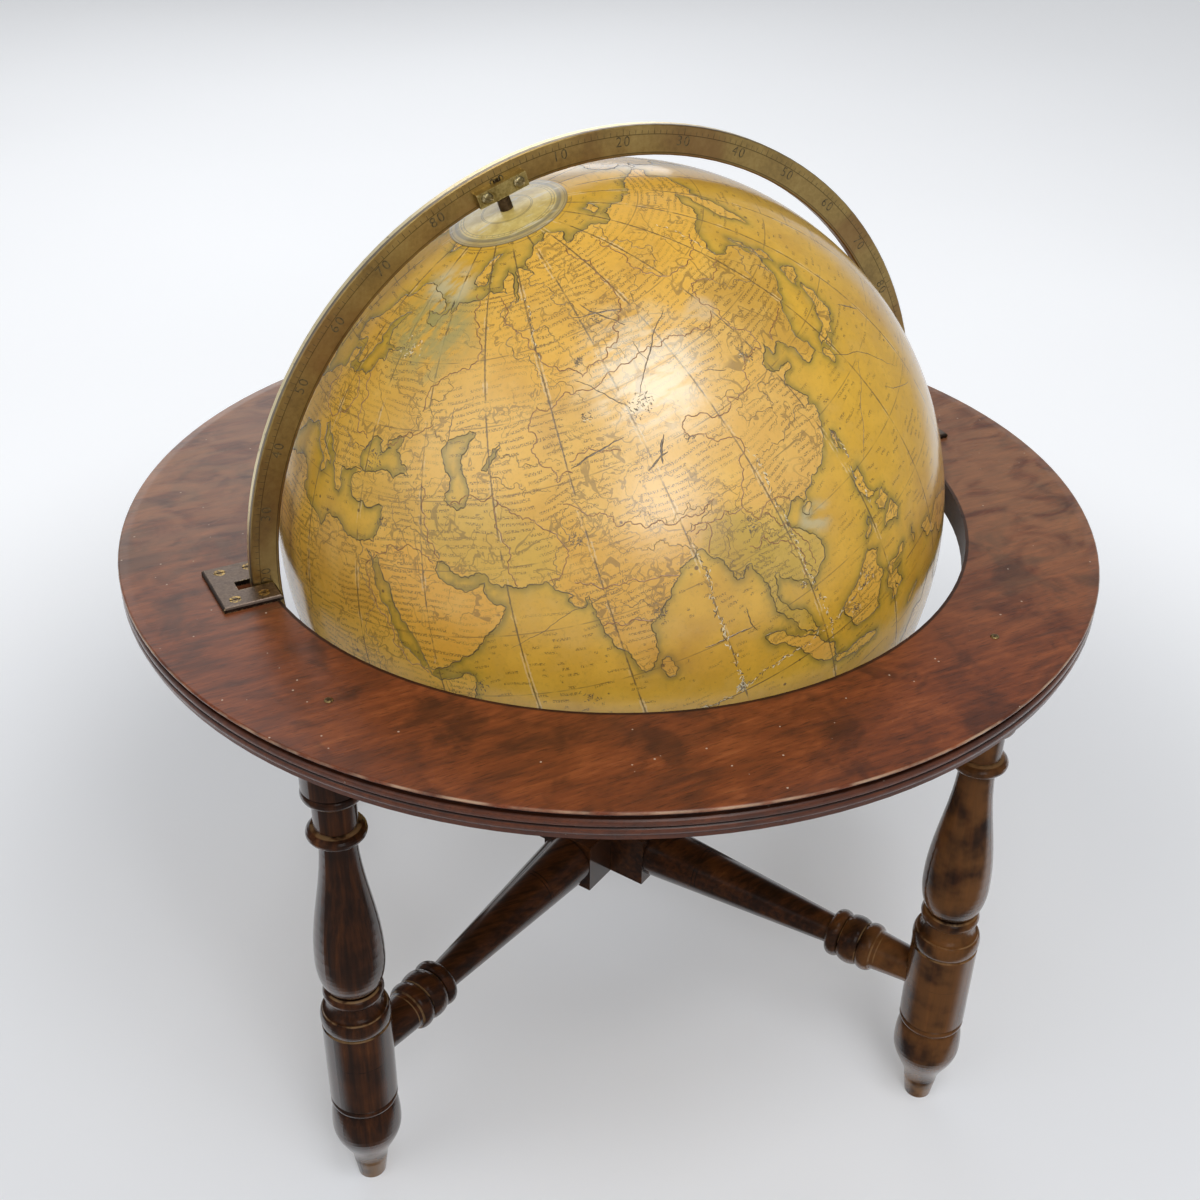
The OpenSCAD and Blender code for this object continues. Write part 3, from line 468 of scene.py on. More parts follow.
# coasts as longitude and latitude, clockwise or not as it comes, with the bays that an old map shows
lands = {
    "asiaEurope": [
        (32.5, 30), (34.2, 27.8), (35, 29.4), (35.4, 28), (36.6, 25.8), (38, 23.6), (39.1, 21.4), (40.4, 19.6),
        (41.4, 17.8), (42.4, 16.2), (42.8, 14.6), (43.2, 12.7), (44, 12.3), (45, 12.8), (47.9, 13.9),
        (49.4, 14.3), (51.2, 15.2), (52.4, 16), (54.1, 17.4), (55.2, 18.5), (56.7, 19.6), (57.8, 20.8),
        (58.6, 21.9), (59.2, 22.6), (58, 23), (57, 23.5), (56.3, 24.6), (56.3, 26.4), (55.4, 26.2), (54, 25.4),
        (52.6, 25.1), (51.2, 25.6), (50.1, 26.2), (49.2, 26.6), (48, 27.4), (47.5, 28.5), (48.1, 29.6),
        (48.9, 29.7), (50.2, 29), (51, 27.9), (52.3, 27.3), (53.6, 27.2), (54.6, 27.5), (55.6, 27.9),
        (56.6, 27.7), (57.4, 26.2), (59, 25.5), (61.8, 25.1), (64.5, 25.3), (66.4, 25.5), (67.1, 24.8),
        (67.7, 23.9), (68.4, 23.6), (69.6, 23.1), (70.2, 22.6), (69.2, 22), (69.9, 21), (70.9, 20.5),
        (71.9, 20.9), (71.9, 21.9), (72.5, 22.1), (72.7, 21), (72.7, 19), (73.2, 17), (73.9, 15),
        (74.8, 12.9), (75.7, 11.2), (76.3, 9.6), (77, 8.1), (77.9, 8.2), (78.6, 9.3), (79.2, 9.6), (79.9, 10.6),
        (79.8, 12), (80.3, 13.6), (80, 15), (80.6, 15.9), (82.2, 16.6), (83.4, 17.8), (85.1, 19.4),
        (86.7, 20.5), (87.1, 21.5), (88.3, 21.9), (89.6, 22), (90.7, 22.8), (91.7, 22.3), (92.3, 20.9),
        (93.8, 19.6), (94.4, 17.6), (94.5, 16.1), (95.6, 15.9), (96.4, 17), (97.6, 17.2), (97.7, 15.6),
        (98.2, 13.8), (98.7, 12), (98.5, 10.2), (98.3, 8.4), (99.4, 7), (100.4, 5.6), (100.7, 4), (101.4, 2.9),
        (102.6, 2), (103.5, 1.2), (104.2, 1.5), (103.5, 3), (103.4, 4.4), (102.9, 5.7), (102, 6.4),
        (100.8, 7.1), (100.3, 8.2), (99.6, 9.4), (99.3, 10.8), (99.9, 12.4), (100.1, 13.6), (101, 13.7),
        (101.1, 12.6), (102.5, 12), (103.3, 10.7), (104.7, 10.2), (105, 8.6), (106.6, 9.6), (107.4, 10.4),
        (109, 11.2), (109.5, 13), (109, 15.2), (107.6, 16.8), (106.3, 18.2), (105.7, 19.3), (106.7, 20.5),
        (108, 21.7), (109.5, 21.5), (109.8, 20.3), (110.5, 20.4), (110.9, 21.4), (112.8, 21.9), (113.7, 22.7),
        (114.3, 22.4), (115.8, 22.8), (117.1, 23.5), (118.5, 24.5), (119.6, 25.6), (120.6, 27.1), (121.6, 28.4),
        (122.1, 29.8), (121, 30.5), (122, 31.2), (121.4, 32.4), (120.6, 33.8), (119.7, 34.9), (120.8, 35.8),
        (122, 36.2), (123.9, 36.3), (123.9, 37), (122.1, 37.3), (120.9, 37), (119.8, 37.4), (118.9, 38.4),
        (119, 39.4), (121, 40.3), (122.7, 41.4), (122.9, 40.2), (122.5, 39.2), (123.6, 39.4), (125.2, 40.1),
        (126.3, 39.3), (126.4, 38.2), (127.4, 37.6), (127.2, 36.2), (127.2, 34.6), (128.6, 34.4), (130.9, 34.6),
        (131.1, 36.4), (129.9, 38.2), (130.3, 39.4), (132.2, 40.8), (133.8, 42.2), (136.4, 43), (138.9, 44.4),
        (141.6, 46), (143.3, 48), (143.8, 50.6), (144, 52.6), (142, 53.6), (139.4, 53.2), (137, 54.4),
        (139.5, 56.4), (143.3, 58.6), (148.5, 59.2), (152.5, 59), (155.4, 59.6), (158, 61.6), (161.4, 62),
        (163.6, 62.4), (163, 60.4), (160.2, 59.6), (158.2, 57.8), (156.6, 56.6), (155.6, 54.6), (156.6, 51.2),
        (158.6, 52.9), (160.2, 54.6), (162.2, 56.2), (163.6, 58.4), (166, 60), (170.4, 60), (174.6, 61.8),
        (179.5, 62.4), (178, 64.6), (182, 65.2), (187, 64.4), (190, 66), (185, 67.2), (180, 68.8),
        (175.5, 69.7), (170.5, 69.9), (161, 69.4), (159.5, 70.7), (152, 70.9), (149, 72), (140, 72.4),
        (137, 71.4), (131.5, 71), (127.4, 73.2), (123, 73), (113.5, 73.6), (107, 73.3), (112.6, 75.8),
        (104.5, 77.6), (98, 76.2), (87, 75), (80.6, 73.6), (80.6, 72), (82.8, 70.4), (79, 72), (75.2, 72.8),
        (74.4, 71.3), (73.8, 69), (73, 67), (71.4, 66.4), (72, 69), (72.6, 71.6), (70, 73), (67, 70.4),
        (68.4, 68.4), (65, 69.1), (60.6, 69.7), (58.6, 68.8), (54, 68.3), (50.4, 68), (46.6, 68.2),
        (46, 66.8), (44.4, 66.2), (43.6, 68.5), (42.6, 66.4), (40, 65.4), (38.2, 64), (34.8, 64.5), (33, 66.6),
        (38.2, 66.1), (41.2, 66.8), (40.4, 67.8), (36, 69.1), (31, 70), (25.8, 71.1), (19.5, 70.1), (14.6, 67.8),
        (12, 65.5), (10, 63.8), (5.2, 61.8), (5.2, 59.2), (7, 58), (10.6, 59.3), (12.2, 57), (12.9, 55.5),
        (14.3, 55.5), (16.2, 56.8), (17, 58.6), (19, 60), (17.3, 61), (17.6, 62.6), (21, 64.7), (24.6, 65.7),
        (21.5, 63.2), (21.5, 61), (23, 59.9), (29.4, 60.2), (28, 59.5), (23.6, 59.2), (24.2, 57.3), (21.6, 57.4),
        (21, 55.4), (19.4, 54.4), (14, 53.9), (11, 54), (10, 54.9), (10.6, 57.5), (8.2, 57), (8.4, 54.9),
        (8.7, 53.8), (7, 53.4), (4.8, 52.8), (3.6, 51.4), (1.7, 50.9), (0.2, 49.6), (-1.4, 49.7), (-1.6, 48.6),
        (-4.7, 48.4), (-2.4, 47.2), (-1.1, 45.7), (-1.7, 43.4), (-8, 43.7), (-9.2, 42.8), (-8.8, 40.5),
        (-9.4, 38.8), (-8.9, 37), (-6.4, 36.8), (-5.6, 36), (-2.1, 36.8), (-0.7, 37.6), (0.1, 38.8), (-0.2, 39.8),
        (3.2, 42), (3.2, 43.2), (4.8, 43.4), (7.5, 43.8), (8.9, 44.4), (10.3, 43.4), (12.2, 41.8), (14.1, 40.8),
        (15.7, 40), (15.8, 38), (17.1, 39), (16.9, 40.3), (18.4, 39.9), (18, 40.8), (16, 41.8), (13.6, 43.6),
        (12.4, 44.9), (13.6, 45.6), (15.2, 44.1), (17.5, 42.9), (19.4, 41.8), (19.5, 40.2), (21.1, 38.3),
        (21.8, 36.9), (23.1, 36.6), (23.6, 38), (22.9, 39.5), (22.8, 40.5), (24.2, 40.4), (26, 40.8), (28.9, 41),
        (27.2, 40.4), (26.3, 39.4), (26.9, 38.4), (27.4, 37), (28.5, 36.7), (30.6, 36.8), (32.6, 36.1),
        (34.6, 36.8), (36, 36.7), (35.7, 35), (35, 33), (34.2, 31.3), (32.3, 31.2)],
    "africa": [
        (32.5, 30), (33.8, 27.4), (35.4, 24), (37, 21.2), (37.2, 19.2), (38.4, 17.4), (39.5, 15.4), (41.4, 13.8),
        (42.9, 12.4), (43.4, 11.4), (45, 10.5), (48, 11.2), (51.2, 11.8), (51, 10), (49.6, 7), (48, 4.4),
        (45, 1.8), (42, -1.2), (39.8, -4.2), (39.2, -7), (40.5, -10.6), (40.7, -15), (36.4, -18.6),
        (35.1, -21.6), (35.4, -24), (32.8, -25.9), (32, -28.9), (28, -33), (25, -34), (20, -34.8), (18.3, -34),
        (17.8, -31.8), (15.2, -27), (14.4, -22.7), (11.8, -17.2), (13.6, -12.5), (12.2, -6), (9, -1), (9.6, 3.9),
        (6, 4.4), (2, 6.3), (-3, 5), (-7.6, 4.4), (-13.2, 8.9), (-16.7, 12.5), (-17.5, 14.7), (-16.4, 19),
        (-17, 21), (-14.5, 26), (-9.9, 30), (-9.2, 32.6), (-6, 35.8), (-2, 35.1), (3, 36.8), (9.8, 37.2),
        (11, 35.3), (10.2, 34), (12.5, 32.8), (15.3, 32.2), (19, 30.3), (20.2, 32.4), (23, 32.7), (26, 31.5),
        (29, 30.9), (32.3, 31.2)],
    "americas": [
        (-168, 65.6), (-161, 66.4), (-166.5, 68.4), (-156.6, 71.3), (-141, 69.7), (-128, 70.3), (-115, 68.6),
        (-108, 68), (-95, 68), (-94, 71.6), (-85.5, 69.6), (-81.5, 68.5), (-86, 66.4), (-93.5, 61.5),
        (-94.5, 58.8), (-88, 56.6), (-82.4, 55.2), (-80, 51.4), (-78.6, 55), (-77, 58), (-77.8, 62.4),
        (-72, 61.6), (-69.5, 59), (-64.8, 60.4), (-61.8, 57), (-56, 52.8), (-60, 50.2), (-67, 50), (-71, 46.9),
        (-65, 49.2), (-64.3, 46.6), (-61, 46), (-66, 43.5), (-67, 45), (-70.6, 43), (-70, 41.6), (-74, 40.5),
        (-76, 36.9), (-75.7, 35.2), (-81, 31.6), (-80, 26.6), (-80.6, 25.2), (-82.7, 28), (-84.2, 30),
        (-89.6, 30.2), (-90.6, 29.2), (-97.2, 27.6), (-97.8, 22.4), (-95.6, 18.6), (-91.6, 18.5), (-90.4, 21),
        (-87, 21.4), (-88.4, 16.2), (-83.3, 15), (-83.7, 11), (-79.8, 9.4), (-76.8, 8.2), (-74.8, 11),
        (-71.7, 12.3), (-71.3, 9.2), (-70, 12), (-63, 10.6), (-60, 8.4), (-52, 4.8), (-49.9, 1), (-44.4, -2.8),
        (-35.2, -5.6), (-35, -9), (-39, -13.4), (-39, -17.6), (-41, -21.8), (-46, -24), (-48.6, -27.6),
        (-53.6, -33.8), (-57.4, -34.4), (-56.8, -36.8), (-62.2, -39), (-65, -41.2), (-65.4, -45), (-67.6, -46.4),
        (-65.8, -48), (-69, -51), (-68.4, -54.8), (-74.6, -51), (-74, -46), (-72.6, -42), (-73.5, -37),
        (-71.5, -30), (-70.3, -20), (-76, -14), (-81, -6), (-80, -2.6), (-80, 0.6), (-77.4, 3.8), (-78, 8),
        (-80.4, 7.4), (-83.4, 8.4), (-85.8, 10), (-87.6, 13), (-93.8, 16), (-99.6, 16.7), (-105.4, 19.8),
        (-105.6, 22.6), (-109.4, 26), (-113, 31.2), (-114.8, 31.6), (-112, 27.6), (-109.6, 23), (-112.2, 25.4),
        (-115.8, 30.2), (-117.2, 32.8), (-120.6, 34.6), (-124.3, 40.4), (-124.2, 46.2), (-123, 48.6),
        (-127.6, 51.4), (-131, 55.8), (-137.6, 58.8), (-146.4, 60.8), (-152, 59.6), (-158.4, 56), (-164, 54.6),
        (-158, 58.6), (-164.6, 60.4), (-165.4, 62.6), (-161, 64.4), (-166.4, 64.6)],
    "greenland": [(-45, 60), (-42.6, 62.6), (-38, 65.6), (-26, 68.6), (-22, 72), (-19.6, 76), (-20, 80),
                  (-32, 83.4), (-50, 82), (-62, 81), (-68, 77.6), (-58, 75.4), (-54, 71.4), (-53.6, 67), (-50, 63)],
    "australia": [
        (113.7, -22.6), (114, -26.4), (115.8, -32), (115.1, -34.3), (118, -35), (123.5, -33.9), (129, -31.7),
        (134.2, -32.9), (137.8, -32.8), (138.4, -35.4), (140.5, -38), (143.5, -38.8), (146.3, -39), (150, -37.3),
        (152.5, -32.4), (153.5, -28.2), (150.8, -23.3), (146.3, -18.9), (145.3, -15), (142.6, -10.8),
        (141.6, -14), (140.8, -17.6), (139.2, -17.4), (135.6, -15), (136.8, -12.2), (132.5, -11.4),
        (130.2, -13.4), (129, -15), (126, -14), (122.2, -18.2), (117, -20.7)],
    "newGuinea": [(131, -0.8), (134.1, -0.8), (134.9, -3.1), (138, -1.7), (144, -3.9), (147.6, -6), (150.8, -10.3),
                  (147, -9.4), (143, -9), (138.6, -8.3), (138, -5.6), (133, -4)],
    "borneo": [(109.2, 1.6), (110.2, 2.2), (111.4, 3), (113, 3.6), (114.4, 4.8), (115.6, 5.7), (116.9, 6.9),
               (119.1, 5.4), (117.9, 4), (118, 2.2), (118.8, 1), (117.5, 0.4), (116.5, -1.8), (116.2, -4),
               (114.6, -4.1), (111.8, -3.6), (110.2, -2.9), (110, -1.2), (109, 0.2)],
    "sumatra": [(95.4, 5.6), (97.5, 5.3), (98.6, 4.2), (100.3, 2.6), (102.6, 1), (103.7, -0.6), (104.6, -2),
                (106, -3.1), (105.8, -5.8), (104.6, -5.8), (102.2, -3.9), (100.4, -1), (98.7, 1.6), (97.1, 3.2)],
    "java": [(105.3, -6.8), (106.2, -5.9), (108.6, -6.7), (110.8, -6.4), (112.7, -6.9), (114.4, -7.7),
             (114.4, -8.7), (111, -8.3), (108, -7.8), (106.4, -7.4)],
    "celebes": [(119.8, 0.7), (120.9, 1.3), (123, 0.9), (125.1, 1.6), (124.3, 0.4), (121, 0.4), (120.2, -0.9),
                (121.5, -0.9), (123.3, -0.9), (121.7, -1.9), (122.9, -4.2), (121.5, -4.4), (120.9, -2.8),
                (120.4, -5.5), (119.5, -5.4), (118.9, -2.7), (119.8, -0.2)],
    "timor": [(123.6, -10.3), (125, -8.9), (127.2, -8.4), (125.2, -9.7)],
    "gilolo": [(127.5, 1), (128.2, 2.1), (128, 0.8), (128.6, 0.3), (127.8, -0.8)],
    "ceylon": [(79.8, 9.3), (80.6, 9.6), (81.4, 8.4), (81.8, 7), (80.9, 5.9), (80.2, 6), (79.8, 7.2)],
    "luzon": [(120.7, 18.4), (122.2, 18.4), (121.7, 15.9), (122, 14.2), (124, 12.8), (120.8, 13.8), (120, 16)],
    "panay": [(122, 11.8), (123.2, 11.6), (125, 12.6), (125.2, 10.3), (123.4, 9.3), (122.1, 10.4)],
    "mindanao": [(122, 7), (123.4, 8.6), (125.4, 9.8), (126.5, 7.6), (125.5, 5.8), (124, 6.8)],
    "palawan": [(117.4, 8.4), (119.4, 11.2), (119.7, 10.6), (117.8, 8.2)],
    "formosa": [(121.6, 25.2), (122, 24.6), (121.2, 22.2), (120.4, 23), (120.9, 24.7)],
    "hainan": [(108.8, 19.2), (110.4, 20), (111, 19.5), (109.7, 18.3)],
    "kiusiu": [(131.7, 33.2), (133, 33.8), (133.9, 32.9), (133.3, 31.3), (132.2, 31.2)],
    "sikokf": [(134.3, 33.8), (136, 34.1), (135.8, 33.2), (134.4, 32.9)],
    "nippon": [(132.9, 34.2), (135, 35.4), (138, 35.8), (139.6, 37.4), (141.2, 38), (142.4, 39.8), (142.9, 41),
               (144, 41.2), (144.3, 39.4), (143.2, 37.9), (143, 35.8), (141.8, 35), (140.2, 34.6), (138.8, 34.4),
               (137.7, 33.6), (137, 34.6), (134.6, 34.2)],
    "jesso": [(142.4, 41.6), (142.8, 43.4), (144.4, 45), (146.8, 43.9), (147.6, 43), (145.4, 42), (143.4, 42.3)],
    "saghalien": [(145.2, 46.2), (144.9, 49), (145.2, 52.4), (146, 54), (146.4, 51.8), (146.2, 49.2),
                  (147.4, 48.6), (146, 47)],
    "novaZembla": [(51.6, 71.4), (53.4, 73.2), (57, 75.2), (65, 76.6), (68.4, 76.8), (61, 75), (57.4, 73),
                   (57.6, 70.8), (53.6, 70.8)],
    "spitzbergen": [(12, 78.4), (16, 80), (24, 80), (20, 78.2), (16.4, 76.8)],
    "iceland": [(-24, 65.4), (-20, 66), (-15, 66.3), (-13.8, 65), (-18.6, 63.5), (-22.4, 63.9), (-22, 64.8)],
    "britain": [(-5.4, 50), (-3.4, 50.4), (1.3, 51.1), (0.4, 53), (-1.6, 55), (-2, 57.6), (-4, 57.7), (-3.2, 58.6),
                (-5.2, 58.4), (-5.8, 56.4), (-4.8, 54.7), (-3, 53.9), (-4.6, 53.2), (-4.6, 52), (-5.2, 51.8),
                (-3, 51.4)],
    "ireland": [(-9.6, 51.6), (-6.2, 52.2), (-6, 54), (-7.4, 55.3), (-9.8, 54.2), (-9, 53.2)],
    "madagascar": [(49.3, -12), (50.4, -15.8), (47.5, -24), (45.2, -25.5), (43.4, -22.9), (44.4, -19.9),
                   (44.3, -16.3), (46.5, -15.6)],
    "newZealand": [(172.8, -34.6), (175.6, -36.8), (178.4, -37.8), (176.8, -39.6), (174.4, -41.6), (171, -45.8),
                   (168.4, -46.6), (166.6, -45.8), (171, -42.2), (173.6, -40.8), (174, -39.2), (174.6, -37.4)],
    "vanDiemen": [(144.8, -40.8), (148.2, -40.9), (147.6, -43.4), (146, -43.4)],
    "cuba": [(-84.8, 21.9), (-81, 23.1), (-77, 22.2), (-74.3, 20.2), (-77.6, 19.9), (-78.6, 21.6)],
    "hispaniola": [(-74.4, 18.4), (-73, 19.9), (-69.8, 19.6), (-68.5, 18.4), (-71.6, 17.8)],
    "newfoundland": [(-59.2, 47.8), (-57, 51.2), (-55.6, 51.4), (-53, 47.4), (-55.8, 47)],
    "baffin": [(-80, 73.6), (-70, 70.4), (-62, 66.8), (-65.4, 62.8), (-72.6, 64.8), (-74, 68.2), (-86, 70.4)],
    "kotelnoi": [(138, 74.2), (141, 76), (149, 75.4), (143, 73.6)],
}
lakes = {
    "blackSea": [(28.2, 41.6), (29.2, 41.2), (31.4, 41.3), (35.1, 42), (38, 41), (41.4, 41.6), (41, 42.8),
                 (39, 44), (37.6, 45.1), (39.2, 47), (36.6, 46.6), (35, 46.2), (35.2, 45.3), (36.2, 45.2),
                 (34, 44.4), (32.8, 45.4), (33.4, 46.1), (31.5, 46.6), (29.8, 45.6), (28.7, 44.2), (27.8, 42.6)],
    "caspian": [(50, 38.4), (51.4, 37.4), (52.6, 36.9), (54.4, 37.4), (55, 38.6), (54.9, 41), (54.2, 43.2),
                (54.1, 44.6), (55.6, 46), (57.5, 47.4), (56, 48), (53, 47.4), (50.6, 46.6), (49.5, 44.6),
                (50.2, 42.8), (51.6, 41.2), (51.2, 39.8)],
    "aral": [(58.2, 42.2), (59.6, 43.6), (61, 45), (62.8, 45.9), (61.6, 44.4), (60.4, 43), (59.2, 42)],
}
# borders and rivers: the hand-coloured edges of the old provinces and the streams that the map shows
borders = {
    "ural": [(54.6, 69.4), (55.2, 66.8), (57.6, 63.6), (58.2, 60.9), (57.2, 58), (52.6, 57), (48.8, 56.2),
             (44.3, 54.7), (43.4, 51)],
    "cossack": [(34.6, 45.6), (38, 47), (43.1, 47.8), (46.4, 49)],
    "steppe": [(86.1, 49.5), (81, 49.8), (75.6, 48.9), (72, 49.6), (70, 48.1), (69.2, 46.4), (70.6, 45),
               (69, 43.9), (69.6, 43.1), (71, 41), (72.5, 38.5), (75.6, 39.3)],
    "tartary": [(75.7, 40.8), (80, 41.8), (83, 40.6), (85.5, 39.9)],
    "persiaNorth": [(50.6, 37.6), (55.5, 39), (60, 38.6), (62.4, 36.6), (64.9, 34.6), (68.1, 32.7), (70.2, 31.6),
                    (70.9, 30), (70.6, 28), (69.5, 26.2), (67.2, 25.4)],
    "turkeyPersia": [(44.9, 40.4), (45.2, 37.4), (46, 34.6), (47.6, 31.8), (48.4, 30)],
    "arabia": [(34.6, 29.8), (38.2, 31.4), (42.8, 31.6), (47.2, 29.2)],
    "himalaya": [(72.5, 35.4), (76, 33), (80, 30.4), (84.4, 28.6), (88.6, 27.6), (92, 27.4), (96.6, 28.2)],
    "assam": [(90.8, 25.6), (93.2, 26), (94, 24.6), (93, 23.2), (92.2, 21.6)],
    "burma": [(91.4, 25), (94, 25.8), (97.2, 26), (98.6, 24.8), (100.2, 25), (101.6, 22.2), (103.2, 23.4),
              (105, 23.6), (107.8, 21.8)],
    "siam": [(98.4, 19.6), (100, 18.8), (101.4, 20), (102.4, 17.8), (104.8, 16.4), (105.6, 13), (104.4, 10.6)],
    "cochin": [(103, 22.6), (104.4, 19.6), (106.2, 17.2), (107.4, 14.6), (107, 11.4)],
    "chinaNorth": [(121.4, 41), (117.4, 41.7), (114.6, 40.6), (112.4, 38.2), (109.9, 37.9), (108.4, 39.2),
                   (107, 37.4), (103.4, 38.4), (99.3, 40.1), (97.6, 38.2)],
    "chinaWest": [(97.6, 38.2), (101, 36.6), (105.8, 33.3), (103.4, 30.4), (101.6, 27.4), (100.2, 25)],
    "manchuria": [(136, 54.3), (131, 53.2), (125, 54.6), (121.5, 54), (119.8, 52), (121.6, 49.4), (120, 46.4),
                  (122.6, 43.8), (121.4, 41)],
    "mongolia": [(119.8, 50), (115.6, 48.6), (110, 49.6), (104, 50.4), (98, 51.2), (92, 50.6), (86.1, 49.5)],
    "siberia": [(66, 68), (70, 62), (74.6, 58), (78, 54.6), (84, 51.6), (90, 52.6), (96, 54.6), (100, 58),
                (104.8, 62.6), (107, 68), (104, 72.6)],
    "lena": [(119, 70), (116, 64), (118.4, 60), (124, 57.6), (131, 57), (136, 58), (141, 59.4)],
    "corea": [(125, 40.6), (127.4, 41.8), (130.4, 42.2), (133, 42.6)],
    "egypt": [(34.4, 29.6), (33, 24), (36.4, 20), (37, 16), (40, 12.6), (42.8, 11.6)],
    "poland": [(21, 55), (24, 51.4), (23, 48.6), (28.6, 45.8)],
    "germany": [(7, 53.4), (6.4, 49.6), (9, 47.6), (13.4, 46.4), (18, 48), (19.4, 50.4), (16.4, 53.6)],
    "guzerat": [(71, 24.4), (74, 23.2), (78, 22.4), (82.4, 21.6), (86.6, 20.6)],
    "deccan": [(73.2, 17.2), (76, 16.4), (79.2, 16.2), (80.6, 15.8)],
    "persiaEast": [(61, 37.6), (60.6, 33), (61.4, 29.4), (61.8, 25.4)],
}
rivers = {
    "indus": [(67.4, 24.4), (68.4, 27.6), (70.8, 30), (72.4, 33.4), (75.6, 34.8), (79, 32.6)],
    "ganges": [(90.4, 22.6), (88.2, 24.8), (84.6, 25.6), (80.6, 26.4), (78, 29.8)],
    "brahmaputra": [(90.4, 22.8), (90, 25.4), (93.4, 26.6), (96, 28), (92, 29.4), (86, 29.4), (82, 30.4)],
    "irrawaddy": [(95.2, 16.4), (95.2, 19), (95.8, 22), (97.4, 25.6)],
    "mekong": [(106.6, 10), (105.8, 13.4), (104.4, 17), (101.4, 20.6), (100, 24), (98, 29)],
    "yangtze": [(121.6, 31.4), (117.4, 31), (114, 30.4), (110.4, 30.2), (106, 29.2), (102, 26.6), (99, 29.6)],
    "hoangHo": [(119.4, 37.6), (115, 35), (110.6, 34.6), (110.4, 39.4), (106.6, 40.2), (104.6, 36.6), (100, 35)],
    "amur": [(142.8, 52.4), (138.6, 50.6), (134.6, 48.2), (128.6, 50), (124, 53), (118.6, 53)],
    "lenaRiver": [(127, 72.6), (124, 68), (128, 63.6), (121, 60.4), (111, 59.6), (106.8, 55)],
    "yenisei": [(82.6, 71), (86, 67), (89.6, 62), (92, 58.2), (93.4, 54), (95, 51.6)],
    "ob": [(72.6, 67), (66.4, 66), (66, 63), (70, 61), (76, 61), (81.6, 58), (84, 54), (86, 51)],
    "irtysh": [(69, 61), (68.4, 58), (73.4, 55), (78, 52), (83, 48)],
    "volga": [(50.4, 46.6), (47.4, 48), (46, 50.6), (49.4, 53.6), (49, 56), (43, 57), (37, 57.4)],
    "don": [(39.2, 47), (43, 48.4), (40, 51), (39, 53)],
    "euphrates": [(48.4, 30), (46, 31.6), (42, 34.4), (38.4, 36.6), (39.6, 39)],
    "tigris": [(47.6, 31), (45, 33.4), (43, 36), (41, 38)],
    "oxus": [(59.2, 42.4), (62, 40), (66, 37.6), (71, 37.6)],
    "jaxartes": [(61.6, 45), (65.6, 43.8), (68.6, 41.6), (74, 41.4)],
    "nile": [(31, 31), (31, 27), (32.8, 24), (31.6, 19.4), (33, 15.6), (32.4, 10), (31.6, 3)],
    "danube": [(29.4, 45.4), (23, 43.8), (19, 46), (16, 48), (10, 48.6)],
    "godavari": [(82, 16.6), (79, 18.8), (74.6, 19.8)],
    "krishna": [(80.8, 15.9), (77, 16.2), (74.6, 17.4)],
    "nerbudda": [(72.8, 21.6), (76.4, 22), (80.4, 22.8)],
}
# knife and dust scratches in the varnish: longitude and latitude as they lie on the ball, and width in mm
scratches = [
    ([(111, 56.4), (104, 54.2), (98.6, 51.2), (93.7, 47.7)], 0.5),
    ([(92.5, 64), (96.4, 60.6), (100, 57.7)], 0.6), ([(88.5, 62.5), (95, 61.6), (102.6, 60)], 0.6),
    ([(82, 53.4), (87, 50), (90.6, 46.6)], 0.45), ([(75.6, 41.6), (80.4, 42.6), (87, 43.2)], 0.7),
    ([(91.4, 37.6), (92.2, 39.4), (94, 41.2)], 1.0), ([(88.6, 37.6), (91.4, 38.6), (93.2, 38.8)], 0.8),
    ([(117.4, 46), (117.2, 44), (116.8, 43)], 0.4), ([(109, 45.6), (111, 44.4), (112, 44)], 0.35),
    ([(86.4, 10.4), (89.6, 10.2), (94, 10)], 0.6), ([(94.2, 13.4), (94, 11), (94.6, 9)], 0.5),
    ([(146, 36), (148, 34), (149.6, 32.2)], 0.6), ([(141, 50.4), (141.6, 49), (141, 48)], 0.5),
    ([(146.6, 52.4), (144.8, 50.6), (143.4, 49.6)], 0.7), ([(67.2, 28.6), (67.6, 27), (68, 26)], 0.35),
    ([(52, 53.4), (51, 50), (50.4, 47)], 0.3), ([(99, 55), (98.6, 53), (99.4, 51.4)], 0.3),
    ([(58.4, 18), (67.6, 21.6), (75, 23.4)], 0.28), ([(124, 20), (131, 26), (137.6, 29.6)], 0.28),
    ([(131, 36), (139, 30.4), (146, 22)], 0.3), ([(139, 23), (143, 20), (147, 18)], 0.3),
]
